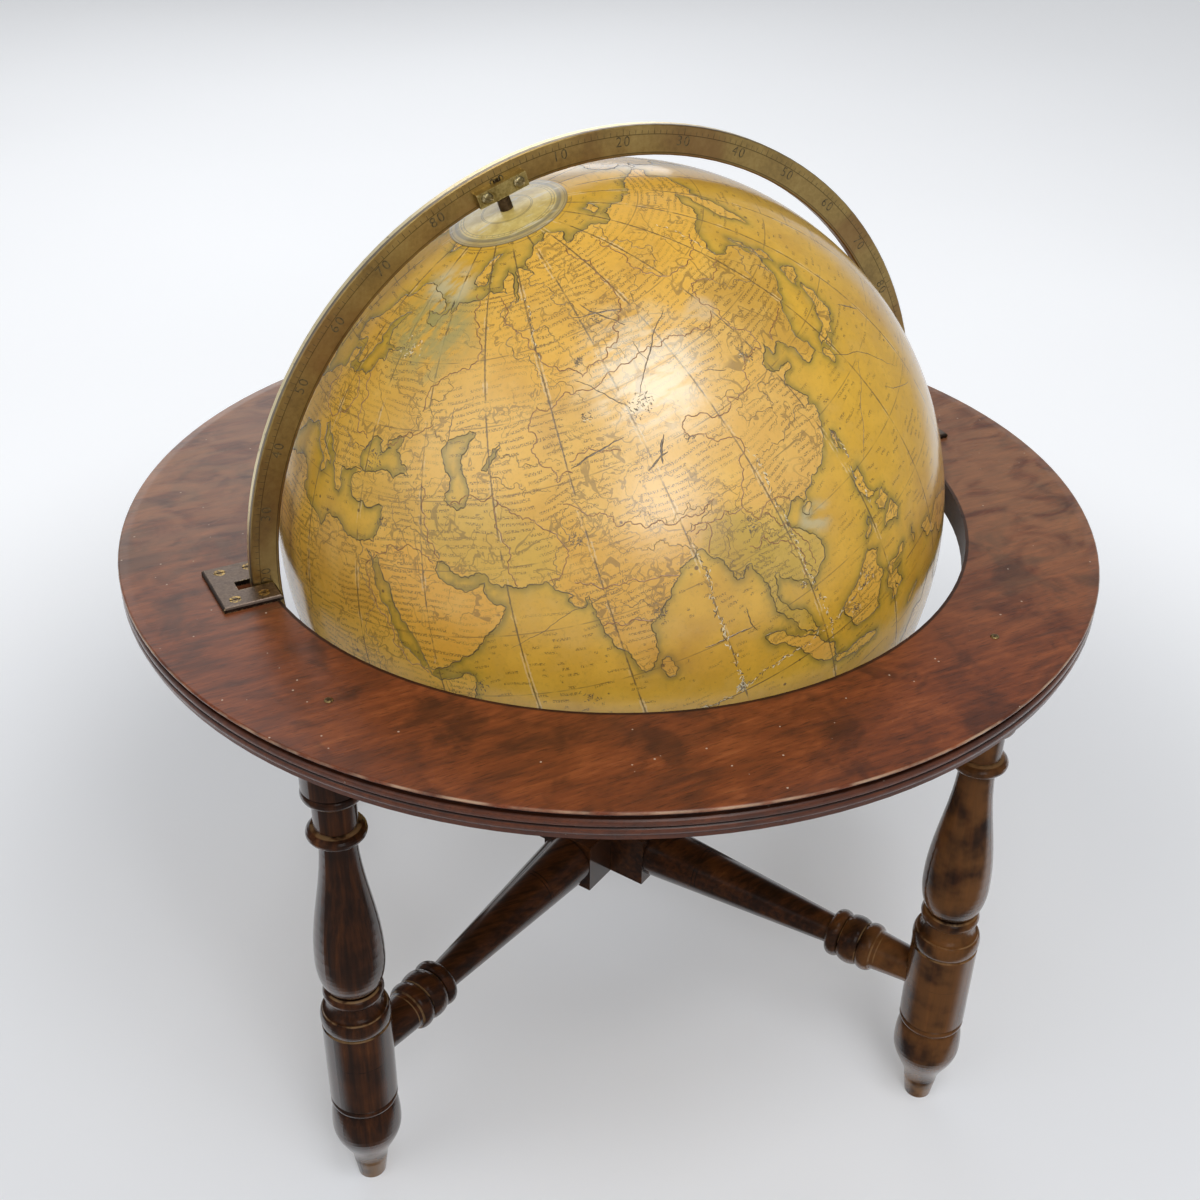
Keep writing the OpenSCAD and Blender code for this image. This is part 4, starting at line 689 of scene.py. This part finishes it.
provinces = [  # outline and the hand-laid wash inside it
    ("#d6a53c", [(-20, 75), (60, 78), (58, 58), (44, 54), (43, 46), (28, 41), (-12, 35)]),
    ("#d2a33c", [(26, 42), (42, 42), (45, 38), (46, 33), (36, 35), (26, 36)]),
    ("#e0a838", [(32, 32), (43, 32), (48.5, 30), (60, 26), (60, 20), (44, 11), (34, 26)]),
    ("#cfa63e", [(45, 40.5), (52, 38), (60, 39), (65, 35), (70.5, 31), (69, 25), (57, 25), (48, 30), (46, 35)]),
    ("#d4a035", [(68, 24), (70.5, 31), (73, 35), (80, 30), (92, 27), (92, 21), (85, 15), (78, 5), (70, 18)]),
    ("#dcac4a", [(70, 46), (76, 50), (98, 52), (118, 50), (122, 44), (105, 37), (98, 27), (80, 29), (72, 36)]),
    ("#dcab4c", [(98, 39), (110, 38), (121, 42), (125, 32), (122, 20), (108, 21), (100, 24), (102, 32)]),
    ("#bb992f", [(92, 28), (100, 25), (102, 22), (106, 12), (104, 1), (97, 5), (92, 18)]),
    ("#c4a23e", [(102, 23), (108, 22), (111, 13), (106, 7), (103, 10), (104, 18)]),
    ("#c99a36", [(122, 44), (120, 53), (136, 55), (150, 52), (145, 43), (130, 33), (124, 38)]),
    ("#e2ad3a", [(57, 80), (58, 57), (66, 52), (90, 50), (120, 51), (122, 54), (136, 55), (155, 58), (191, 62),
                 (191, 72), (105, 80)]),
    ("#dda848", [(94, 7), (96, 7), (107, -3), (106, -7), (102, -5)]),
]


# cracks along the joints of the gores: where they run, mm across, and the share of them that is torn
tears = [
    ([(90.4, 24), (89.8, 17), (89.6, 10), (89.9, 0.7)], 1.6, 0.95),
    ([(106, 34), (105.7, 26.7), (105.5, 20), (105.2, 13.3), (106.2, 7), (106.1, -1)], 1.1, 0.6),
    ([(75, -1), (81, 0.1), (89.9, 0.7), (98.1, 2), (107, 2.5), (115.4, 3.8)], 1.5, 0.85),
    ([(121.5, 27.3), (120.8, 20.4), (120.8, 13)], 1.0, 0.7),
    ([(139.8, 66.4), (138.4, 60.7), (137.4, 56)], 0.9, 0.6),
    ([(75.4, 68.4), (75.5, 64.7), (75.5, 58.1)], 1.0, 0.5),
]
# knots of small marks: longitude, latitude, mm across, how many, and the share of pale ones
knots = [
    (89.7, 1, 4.6, 70, 0.5), (92.6, 46.4, 11, 58, 0), (94.3, 60.6, 4.2, 22, 0.2), (84.7, 55.8, 3.6, 26, 0),
    (81.7, 47.7, 4.0, 26, 0.1), (82, 18, 5.5, 30, 0), (114.9, 5, 10, 60, 0.1), (111, 1.4, 8, 44, 0.1),
    (33.2, 62, 12, 44, 0.5), (100, 24, 6, 22, 0), (118, 44, 8, 30, 0.1), (68, 8, 6, 20, 0), (98, 39, 5, 20, 0),
    (73, 32, 5, 26, 0), (104, 11.6, 4, 20, 0.1), (32, 45, 8, 34, 0), (36, 36, 7, 26, 0), (52, 12, 6, 20, 0),
]


def onBall(longitude, latitude, lift=0.0):
    # a place on the map as a point of the shared frame
    f = np.radians(np.asarray(longitude, float) + ball["greenwich"])
    t = np.radians(np.asarray(latitude, float))
    x, y, z = np.cos(t) * np.cos(f), np.cos(t) * np.sin(f), np.sin(t)
    c, s = math.cos(math.radians(ball["lean"])), math.sin(math.radians(ball["lean"]))
    reach = ball["radius"] + lift
    return np.stack([(x * c - z * s) * reach, y * reach, (x * s + z * c) * reach], -1) + ball["centre"]


def mapPlace(points):
    # the longitude and latitude of points of the shared frame
    p = np.asarray(points) - ball["centre"]
    c, s = math.cos(math.radians(ball["lean"])), math.sin(math.radians(ball["lean"]))
    x, z = p[:, 0] * c + p[:, 2] * s, p[:, 2] * c - p[:, 0] * s
    longitude = (np.degrees(np.arctan2(p[:, 1], x)) - ball["greenwich"] + 180) % 360 - 180
    return longitude, np.degrees(np.arcsin(np.clip(z / np.linalg.norm(p, axis=1), -1, 1)))


def roughen(points, seed, closed, step=1.3, wander=0.11):
    # splits a line until its pieces are step mm long, and moves each new point sideways a little
    rng = np.random.default_rng(seed)
    way = [np.array(p, float) for p in points]
    if closed:
        way.append(way[0])
    out = [way[0]]
    for a, b in zip(way, way[1:]):
        piece = [a, b]
        while True:
            middle = (piece[0] + piece[1]) / 2
            squeeze = math.cos(math.radians(min(abs(middle[1]), 85)))
            span = math.hypot((piece[1][0] - piece[0][0]) * squeeze, piece[1][1] - piece[0][1]) * mmPerDegree
            if span < step:
                break
            grown = [piece[0]]
            for p, q in zip(piece, piece[1:]):
                d = q - p
                side = np.array([-d[1] / squeeze, d[0] * squeeze])
                grown += [(p + q) / 2 + side * rng.uniform(-wander, wander) * 2, q]
            piece = grown
        out += piece[1:]
    line = np.array(out)
    return line[:-1] if closed else line


def isInside(longitude, latitude, outline):
    inside = np.zeros(len(longitude), bool)
    x = np.where(longitude < outline[:, 0].min() - 0.01, longitude + 360, longitude)
    near = np.flatnonzero((x <= outline[:, 0].max()) & (latitude > outline[:, 1].min())
                          & (latitude < outline[:, 1].max()))
    px, py = x[near], latitude[near]
    hit = np.zeros(len(near), bool)
    for (x1, y1), (x2, y2) in zip(outline, np.roll(outline, -1, axis=0)):
        if y1 != y2:
            hit ^= ((y1 > py) != (y2 > py)) & (px < (x2 - x1) * (py - y1) / (y2 - y1) + x1)
    inside[near] = hit
    return inside


def startTree(name, **inputs):
    # a tree with named inputs for its sizes and material, and the sockets that they come from
    tree = bpy.data.node_groups.new(name, "GeometryNodeTree")
    for label, kind in {**inputs, "material": "Material"}.items():
        tree.interface.new_socket(name=label, in_out="INPUT", socket_type="NodeSocket" + kind)
    tree.interface.new_socket(name="Geometry", in_out="OUTPUT", socket_type="NodeSocketGeometry")
    return tree, addNode("NodeGroupInput", tree=tree).outputs


def finishTree(shape, given):
    real = addNode("GeometryNodeRealizeInstances", shape)
    dressed = addNode("GeometryNodeSetMaterial", named={"Geometry": real, "Material": given["material"]})
    return addNode("NodeGroupOutput", dressed).id_data


def ballTree():
    # a grid rolled into the paper's outer face, which turns in at the pole holes and runs back inside
    tree, given = startTree("paperBall", radius="Float", paper="Float", lastLatitude="Float", columns="Int",
                            rows="Int", innerRows="Int", greenwich="Float", lean="Float", centre="Vector")
    rows = given["rows"]
    rowsAll = chain("ADD", rows, given["innerRows"], 2.0)
    grid = addNode("GeometryNodeMeshGrid", 1.0, 1.0, addNode("ADD", given["columns"], 1.0),
                   addNode("ADD", rowsAll, 1.0))
    stretch = addNode(xyzNode, 1.0, addNode("DIVIDE", rowsAll, rows), 1.0)
    uv = addNode(vectorNode, grid.outputs["UV Map"], stretch, operation="MULTIPLY")
    stored = addNode("GeometryNodeStoreNamedAttribute", data_type="FLOAT2", domain="CORNER",
                     named={"Geometry": grid.outputs["Mesh"], "Name": "map", "Value": uv})
    x, y, _ = addNode(axesNode, addNode("GeometryNodeInputPosition", tree=tree)).outputs
    row = addNode("FLOORED_MODULO", addNode("ROUND", product(addNode("ADD", y, 0.5), rowsAll)), rowsAll)
    isInner = addNode("GREATER_THAN", row, addNode("ADD", rows, 0.5))
    innerPart = addNode("DIVIDE", chain("SUBTRACT", row, rows, 1.0), given["innerRows"])
    innerPart = addNode("SUBTRACT", 1.0, innerPart)
    part = addNode(mixNode, isInner, addNode("DIVIDE", row, rows), innerPart)
    latitude = product(addNode("SUBTRACT", part, 0.5), 2 * math.pi / 180, given["lastLatitude"])
    turn = addNode("ADD", product(x, 2 * math.pi), product(given["greenwich"], math.pi / 180))
    reach = addNode("SUBTRACT", given["radius"], product(isInner, given["paper"]))
    flat = product(reach, addNode("COSINE", latitude))
    place = addNode(xyzNode, product(flat, addNode("COSINE", turn)), product(flat, addNode("SINE", turn)),
                   product(reach, addNode("SINE", latitude)))
    shaped = addNode("GeometryNodeSetPosition", named={"Geometry": stored, "Position": place})
    placed = addNode(moveNode, shaped, named={
        "Translation": given["centre"],
        "Rotation": addNode(xyzNode, 0.0, product(given["lean"], -math.pi / 180), 0.0)})
    merged = addNode("GeometryNodeMergeByDistance", named={"Geometry": placed, "Distance": 0.000004})
    return finishTree(addNode("GeometryNodeSetShadeSmooth", named={"Geometry": merged}), given)


def linesTree():
    # flat printed lines: a curve swept with a thin bar that lies on the ball, as wide as the point's radius
    tree, given = startTree("printedLines", lines="Geometry", centre="Vector", thickness="Float")
    away = addNode(vectorNode, addNode("GeometryNodeInputPosition", tree=tree), given["centre"],
                   operation="SUBTRACT")
    turned = addNode("GeometryNodeSetCurveNormal", mode="FREE", named={
        "Curve": given["lines"], "Normal": away})
    bar = addNode("GeometryNodeCurvePrimitiveQuadrilateral", named={
        "Width": given["thickness"], "Height": 1.0})
    swept = addNode("GeometryNodeCurveToMesh", named={
        "Curve": turned, "Profile Curve": bar, "Scale": addNode("GeometryNodeInputRadius", tree=tree),
        "Fill Caps": True})
    return finishTree(swept, given)


def grow(name, tree, values, start=None):
    # runs a node tree on a new object and keeps the result as a plain mesh
    base = bpy.data.objects.new(name + "Base", start or bpy.data.meshes.new(name + "Base"))
    bpy.context.scene.collection.objects.link(base)
    modifier = base.modifiers.new("build", "NODES")
    modifier.node_group = tree
    for item in tree.interface.items_tree:
        if item.in_out == "INPUT" and item.name in values:
            modifier[item.identifier] = values[item.name]
    seen = base.evaluated_get(bpy.context.evaluated_depsgraph_get())
    mesh = bpy.data.meshes.new_from_object(seen)
    base.modifiers.remove(modifier)
    bpy.data.objects.remove(base)
    piece = bpy.data.objects.new(name, mesh)
    mesh.name = name
    bpy.context.scene.collection.objects.link(piece)
    return piece


# thick old varnish: full gloss where it is met face on, thin at the sides, strong again at the very rim
varnish = {"front": 0.95, "side": 0.22, "fadeFrom": 0.16, "fadeTo": 0.40,
           "rim": 0.68, "rimFrom": 0.66, "rimTo": 0.80}
mapPrint = {  # widths and sizes in mm, but the pitch of the rows and of the net in degrees
    "land": "#e0ae42", "sea": "#daab36", "seaDeep": "#cd9e2a", "wash": "#98862e", "washWidth": 7.0,
    "edgeWash": "#776a22", "edgeWidth": 3.0, "ink": "#523e1c", "rowPitch": 1.0, "wordLength": 8.0,
    "strokeWidth": 0.5, "gridInk": "#6d5424", "seamInk": "#473822", "brown": "#a8741e", "speck": "#4a3018",
    "speckSpacing": 7.5, "meridians": 15, "parallels": 10,
    # rubbed places, and one painted highlight: longitude, latitude, reach in m, strength and tone
    "rubsAndHighlight": [(38, 65.5, 0.037, 0.8, "#a0965a"), (38, 73, 0.020, 0.6, "#cfc6a2"),
             # the first patch here, pale cream at 97 east and 50 north, is a painted highlight where the varnish
             # shines
             (97, 50, 0.045, 0.42, "#f0e6ca"), (110.1, 18.9, 0.013, 0.7, "#bdb48e"),
             (118.4, 53, 0.011, 0.6, "#d3b88c")]}


def varnishGloss(place):
    v = varnish
    skim = addNode("ShaderNodeLayerWeight", 0.5, tree=place.id_data).outputs["Facing"]
    level = addNode("ADD", smoothStep(skim, v["fadeFrom"], v["fadeTo"], to=(v["front"], v["side"])),
                  product(smoothStep(skim, v["rimFrom"], v["rimTo"]), v["rim"]))
    return {"Coat_Weight": level, "Coat_Roughness": addNode(rangeNode, skim, 0.5, 0.75, 0.33, 0.12)}


def wordRows(place, longitude, latitude, isSea):
    # rows of engraved words, too small to read: strokes in word-long runs along the parallels
    s = mapPrint
    sway = product(addNode("SUBTRACT", cloud(place, 30, Detail=1.0), 0.5), 3.4)
    rows = addNode("DIVIDE", addNode("ADD", latitude, sway), s["rowPitch"])
    number = addNode("FLOOR", rows)
    inRow = addNode("SUBTRACT", addNode("FRACT", rows), 0.5)
    squeeze = addNode("COSINE", product(number, s["rowPitch"] * math.pi / 180))
    shift = product(addNode("ShaderNodeTexWhiteNoise", noise_dimensions="1D", named={"W": number}), 300.0)
    run = addNode("ADD", product(longitude, squeeze, mmPerDegree), shift)
    strokeRow = addNode("ADD", product(inRow, 5.0), product(number, 9.0))
    words, strokes = [addNode(noiseNode, addNode(xyzNode, product(run, 1 / s[size]), row, 0.0),
                              noise_dimensions="2D", named={"Scale": 1.0, "Detail": 1.0})
                      for size, row in (("wordLength", product(number, 3.7)), ("strokeWidth", strokeRow))]
    isWord = smoothStep(addNode("SUBTRACT", words, addNode(mixNode, isSea, 0.42, 0.58)), 0.0, 0.03)
    tall = smoothStep(addNode("ABSOLUTE", inRow), 0.27, 0.17)
    faded = addNode("MULTIPLY_ADD", patchy(place, 36, 0.36, 0.56, Detail=2.0), 0.6, 0.4)
    return product(isWord, smoothStep(strokes, 0.46, 0.58), tall, faded, 0.72)


def varnishedMapPaper():
    # Engraved paper gores, hand-coloured and varnished: yellowed land, olive coasts, brown print, amber gloss
    s = mapPrint
    material, place = startMaterial("varnishedMapPaper", Roughness=0.5, Coat_IOR=1.8, Specular_IOR_Level=0.25)
    tree, last = material.node_tree, ball["lastLatitude"]
    u, v, _ = addNode(axesNode, addNode("ShaderNodeUVMap", tree=tree, uv_map="map")).outputs
    longitude = addNode("MULTIPLY_ADD", u, 360.0, -180.0)
    latitude = addNode("MULTIPLY_ADD", v, 2 * last, -last)
    coast = addNode("ShaderNodeAttribute", tree=tree, attribute_name="coast").outputs["Fac"]
    tint = addNode("ShaderNodeAttribute", tree=tree, attribute_name="landTint").outputs["Color"]
    patches = cloud(place, 11, Detail=4.0, Roughness=0.6)
    fibres = cloud(place, 1.6, Detail=4.0, Roughness=0.7)
    isSea = smoothStep(coast, -0.3, 0.3)
    sea = glaze(s["seaDeep"], s["sea"], smoothStep(patches, 0.35, 0.65))
    ragged = addNode("ADD", coast, product(patches, 4.0))
    sea = glaze(sea, s["wash"], smoothStep(ragged, s["washWidth"] + 2, 1.2), 0.4)
    sea = glaze(sea, s["edgeWash"], smoothStep(ragged, s["edgeWidth"] + 2, 1.6), 0.75)
    paper = glaze(tint, sea, isSea)
    # old varnish: browner in broad blotches, finely mottled, and foxed with small specks
    paper = glaze(paper, s["brown"], patchy(place, 46, 0.48, 0.72, Detail=4.0, Roughness=0.55), 0.42)
    paper = glaze(paper, "#ecc468", smoothStep(patches, 0.52, 0.3), 0.22)
    paper = glaze(paper, "#94702c", smoothStep(fibres, 0.5, 0.75), 0.3)
    # fine lines that wander over the land: hills, streams and small bounds of the old engraving
    curls = [product(band(cloud(place, size, Detail=3.0, Distortion=0.5), 0.5, half),
                     patchy(place, size + 16, 0.44, 0.54, Detail=1.0), smoothStep(coast, 0.2, -1.0), 0.5)
             for size, half in ((17, 0.014), (9, 0.018))]
    paper = glaze(paper, s["ink"], chain("MAXIMUM", wordRows(place, longitude, latitude, isSea), *curls))
    # the net of meridians and parallels, and the seams of the printed gores
    squeeze = addNode("COSINE", product(latitude, math.pi / 180))
    east = product(addNode("PINGPONG", longitude, s["meridians"] / 2), mmPerDegree, squeeze)
    north = product(addNode("PINGPONG", latitude, s["parallels"] / 2), mmPerDegree)
    worn = patchy(place, 9, 0.34, 0.56, Detail=3.0)
    paper = glaze(paper, s["gridInk"], smoothStep(addNode("MINIMUM", east, north), 0.36, 0.1), worn, 0.6)
    ragged = addNode("ADD", east, product(addNode("SUBTRACT", fibres, 0.5), 1.6))
    seams = product(smoothStep(ragged, 0.5, 0.1), worn, 0.6)
    paper = glaze(paper, s["seamInk"], seams)
    paper = glaze(paper, "#dcc9a0", band(ragged, 0.75, 0.35), smoothStep(patches, 0.52, 0.62), 0.5)
    offEquator = product(addNode("ABSOLUTE", latitude), mmPerDegree)
    paper = glaze(paper, s["seamInk"], smoothStep(offEquator, 0.4, 0.15), worn, 0.6)
    specks = addNode("ShaderNodeTexVoronoi", place, named={"Scale": 1000 / s["speckSpacing"]}).outputs
    size = product(addNode("ShaderNodeSeparateColor", specks["Color"]), 0.13)
    paper = glaze(paper, s["speck"], smoothStep(addNode("SUBTRACT", specks["Distance"], size), 0.02, -0.04),
                  smoothStep(patches, 0.46, 0.58), 0.8)
    # places rubbed grey or bare, and a painted highlight, streaky and ragged at the edge
    streak = patchy(place, (16, 4, 7), 0.34, 0.54, 30, Detail=5.0)
    for eastOf, northOf, size, strength, shade in s["rubsAndHighlight"]:
        far = addNode(vectorNode, place, tuple(onBall(eastOf, northOf)), operation="DISTANCE")
        rub = addNode("ADD", far, product(patches, size * 0.5))
        paper = glaze(paper, shade, smoothStep(rub, size, size * 0.5), streak, strength)
    wave = addNode("ADD", addNode("SUBTRACT", patches, product(seams, 0.35)), product(fibres, 0.12))
    finishMaterial(material, paper, wave, 0.35, 0.0006, **varnishGloss(place))
    sockets = tree.nodes["Principled BSDF"].inputs
    link(sockets["Normal"].links[0].from_socket, sockets["Coat Normal"])
    return material


def printedInk(name, dark, light):
    # Printer's ink under the ball's varnish: a brown line, uneven where the print has worn
    material, place = startMaterial(name, Roughness=0.5, Coat_IOR=1.8, Specular_IOR_Level=0.25)
    tone = cloud(place, 2.5, Detail=4.0, Roughness=0.65)
    shade = addNode(rampNode, tone, ramp=[(0.36, dark), (0.64, light)])
    return finishMaterial(material, shade, **varnishGloss(place))


def drawLines(name, lines, material, lift):
    # each line is its longitudes and latitudes, its widths in mm, and whether it closes
    curve = bpy.data.curves.new(name, "CURVE")
    curve.dimensions = "3D"
    for points, widths, closed in lines:
        points = np.asarray(points)
        spline = curve.splines.new("POLY")
        spline.points.add(len(points) - 1)
        flat = np.concatenate([onBall(points[:, 0], points[:, 1], lift * mm), np.ones((len(points), 1))], 1)
        spline.points.foreach_set("co", flat.ravel())
        spline.points.foreach_set("radius", np.asarray(widths, float) * mm)
        spline.use_cyclic_u = closed
    piece = grow(name, linesTree(), {
        "centre": ball["centre"], "thickness": 0.07, "material": material}, curve)
    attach(piece, "ball")


def isShared(p, q):
    # the short land bridge at Suez, drawn on no map as a coast
    return {tuple(p), tuple(q)} == {(32.5, 30), (32.3, 31.2)}


shiftNorth = np.array([0, ball["northShift"]])
outlines, coastLines = {}, []
for number, (name, points) in enumerate({**lands, **lakes}.items()):
    closed = not isShared(points[0], points[-1])
    line = roughen(points, 100 + number, closed) + shiftNorth
    outlines[name] = line
    rng = np.random.default_rng(500 + number)
    widths = 0.42 + 0.2 * np.convolve(rng.standard_normal(len(line)), np.ones(5) / 5, "same")
    coastLines.append((line, np.clip(widths, 0.2, 0.8), closed))
print("coasts drawn:", sum(len(line) for line in outlines.values()), "points")

globeMap = grow("globe_map", ballTree(), {**ball, "material": varnishedMapPaper()})
mesh = globeMap.data
places = np.empty(len(mesh.vertices) * 3, np.float32)
mesh.vertices.foreach_get("co", places)
places = places.reshape(-1, 3).astype(float)
longitudes, latitudes = mapPlace(places)
dry = np.zeros(len(places), bool)
for name in lands:
    dry |= isInside(longitudes, latitudes, outlines[name])
for name in lakes:
    dry &= ~isInside(longitudes, latitudes, outlines[name])
shore = np.concatenate([onBall(line[:, 0], line[:, 1]) for line in outlines.values()])
finder = KDTree(len(shore))
for i, point in enumerate(shore):
    finder.insert(point, i)
finder.balance()
reach = np.array([finder.find(point)[2] for point in places]) / mm
coastValues = np.where(dry, -reach, reach).astype(np.float32)
mesh.attributes.new("coast", "FLOAT", "POINT").data.foreach_set("value", coastValues)
tints = np.tile(np.array(colour(mapPrint["land"]), np.float32), (len(places), 1))
for shade, points in provinces:
    area = roughen(points, 900, True, step=6.0, wander=0.06) + shiftNorth
    tints[isInside(longitudes, latitudes, area)] = colour(shade)
ends = np.empty(len(mesh.edges) * 2, np.int32)
mesh.edges.foreach_get("vertices", ends)
ends = ends.reshape(-1, 2)
count = np.bincount(ends.ravel(), minlength=len(places))[:, None] + 1.0
for _ in range(3):  # the washes run into each other a little
    blurred = tints.copy()
    np.add.at(blurred, ends[:, 0], tints[ends[:, 1]])
    np.add.at(blurred, ends[:, 1], tints[ends[:, 0]])
    tints = (blurred / count).astype(np.float32)
mesh.attributes.new("landTint", "FLOAT_COLOR", "POINT").data.foreach_set("color", tints.ravel())
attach(globeMap, "ball")
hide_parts("globe_paper")
print("printed ball made:", len(mesh.polygons), "faces")

lineLook = {  # first seed, sideways wander, width in mm at both ends, ink, and height over the paper in mm
    "border_lines": (borders, 1300, 0.13, 0.42, 0.42, ("borderInk", "#7a4a22", "#a4783c"), 0.010),
    "river_lines": (rivers, 1700, 0.2, 0.42, 0.2, ("riverInk", "#6a5228", "#a98845"), 0.008)}
drawLines("coast_lines", coastLines, printedInk("coastInk", "#4a3b16", "#76642a"), 0.012)
for name, (ways, seed, wander, first, last, ink, lift) in lineLook.items():
    drawn = [roughen(points, seed + number, False, step=1.5, wander=wander) + shiftNorth
             for number, points in enumerate(ways.values())]
    drawLines(name, [(line, np.linspace(first, last, len(line)), False) for line in drawn],
              printedInk(*ink), lift)
darkMarks, bareMarks = [], []
rng = np.random.default_rng(3100)


def addMark(at, heading, length, width, isPale):
    # one short bent dash on the ball, sized in mm
    squeeze = math.cos(math.radians(at[1]))
    step = np.array([math.cos(heading) / squeeze, math.sin(heading)]) * length / 2 / mmPerDegree
    bend = np.array([-math.sin(heading) / squeeze, math.cos(heading)]) * rng.uniform(-0.3, 0.3) / mmPerDegree
    points = np.array([at - step, at + bend, at + step])
    (bareMarks if isPale else darkMarks).append((points, np.array([0.4, 1.0, 0.35]) * width, False))


for points, across, share in tears:
    way = roughen(points, 3200, False, step=1.1, wander=0.06)
    for a, b in zip(way, way[1:]):
        heading = math.atan2(b[1] - a[1], (b[0] - a[0]) * math.cos(math.radians(a[1])))
        for _ in range(rng.poisson(1.3 * share)):
            sideways = np.array([-math.sin(heading), math.cos(heading)])
            aside = sideways * rng.normal(0, 0.32) * across / mmPerDegree
            addMark(a + aside, heading + rng.uniform(-0.7, 0.7), rng.uniform(0.5, 2.2),
                    rng.uniform(0.2, 0.55), rng.random() < 0.4)
for longitude, latitude, across, number, pale in knots:
    for _ in range(number):
        turn, out = rng.uniform(0, 2 * math.pi), across * 0.5 * rng.random() ** 0.7 / mmPerDegree
        at = np.array([longitude + out * math.cos(turn) / math.cos(math.radians(latitude)),
                       latitude + out * math.sin(turn)])
        addMark(at, rng.uniform(0, math.pi), rng.uniform(0.5, 1.6), rng.uniform(0.2, 0.5),
                rng.random() < pale)
for number, (points, width) in enumerate(scratches):
    line = roughen(points, 2100 + number, False, step=1.2, wander=0.03)
    taper = np.sin(np.linspace(0.15, math.pi - 0.15, len(line))) ** 0.5
    rng = np.random.default_rng(2500 + number)
    darkMarks.append((line, width * taper * rng.uniform(0.6, 1.15, len(line)), False))
drawLines("varnish_scratches", darkMarks, printedInk("scratchDust", "#4a3922", "#7d6a48"), 0.014)
drawLines("torn_paper", bareMarks, roughBody("barePaperTear", "#cdbd94", "#efe5c8", 1.5, 0.8), 0.016)
print("printed lines laid on the ball")

# radii and sizes on the ring's face in m, and the lean of the pole in degrees
engraving = {"depth": 0.05 * mm, "tickLow": 0.1670, "tickLong": 0.0026, "tickShort": 0.0016,
             "tickWide": 0.00022, "figureSize": 0.0059, "spacing": 1.25, "figureAt": 0.1643, "lean": -19.0}


def scaleTree():
    # a tick for each degree, longer ones for each fifth, and figures for each tenth
    tree, given = startTree("meridianScale", centre="Vector", **{name: "Float" for name in engraving})
    number = addNode("GeometryNodeInputIndex", tree=tree)
    pole = product(given["lean"], math.pi / 180)
    rings, joined = (addNode("GeometryNodeJoinGeometry", tree=tree) for _ in range(2))
    for every, length in ((1, given["tickShort"]), (5, given["tickLong"])):
        bar = addNode("GeometryNodeMeshCube", addNode(xyzNode, given["tickWide"], given["depth"], length))
        middle = addNode("ADD", product(length, 0.5), given["tickLow"])
        raised = addNode(moveNode, bar.outputs["Mesh"], named={
            "Translation": addNode(xyzNode, 0.0, 0.0, middle)})
        turn = addNode("ADD", product(number, math.radians(every)), pole)
        copies = addNode("GeometryNodeInstanceOnPoints", named={
            "Points": addNode("GeometryNodePoints", 360 // every, tree=tree), "Instance": raised,
            "Rotation": addNode(xyzNode, 0.0, turn, 0.0)})
        link(copies, rings.inputs[0])
    # one round of figures for each ten degrees from 10 to 90, in all four quarters
    repeatIn, repeatOut = (addNode("GeometryNodeRepeat" + end, tree=tree) for end in ("Input", "Output"))
    repeatIn.pair_with_output(repeatOut)
    repeatIn.inputs["Iterations"].default_value = 9
    tens = product(addNode("ADD", repeatIn.outputs["Iteration"], 1.0), 10.0)
    letters = addNode("GeometryNodeStringToCurves", align_x="CENTER", align_y="MIDDLE", named={
        "String": addNode("FunctionNodeValueToString", tens), "Size": given["figureSize"],
        "Character Spacing": given["spacing"]})
    upright = addNode(moveNode, addNode("GeometryNodeFillCurve", letters.outputs[0]), named={
        "Rotation": (math.pi / 2, 0, 0),
        "Translation": addNode(xyzNode, 0.0, product(given["depth"], -0.5), given["figureAt"])})
    for sign, start in ((1, 0), (-1, 180), (1, -90), (-1, -90)):
        turn = chain("ADD", product(tens, sign * math.pi / 180), math.radians(start), pole)
        turned = addNode(moveNode, upright, named={"Rotation": addNode(xyzNode, 0.0, turn, 0.0)})
        link(turned, joined.inputs[0])
    link(repeatIn.outputs[1], joined.inputs[0])
    link(joined, repeatOut.inputs[0])
    link(repeatOut, rings.inputs[0])
    return finishTree(addNode(moveNode, rings, named={"Translation": given["centre"]}), given)


def waxInEngraving():
    # Dark wax rubbed into cut figures and lines: brown-black, matt, thin where it has fallen out
    material, place = startMaterial("waxInEngraving", Roughness=0.6)
    tone = cloud(place, 1.5, Detail=3.0)
    return finishMaterial(material, addNode(rampNode, tone, ramp=[(0.38, "#33290f"), (0.66, "#6f5d34")]))


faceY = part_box("meridian_ring")[0].y
scaleMarks = grow("meridian_scale", scaleTree(), {
    **engraving, "centre": (0, faceY, centreZ), "material": waxInEngraving()})
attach(scaleMarks, "meridian")
print("meridian scale cut:", len(scaleMarks.data.polygons), "faces")
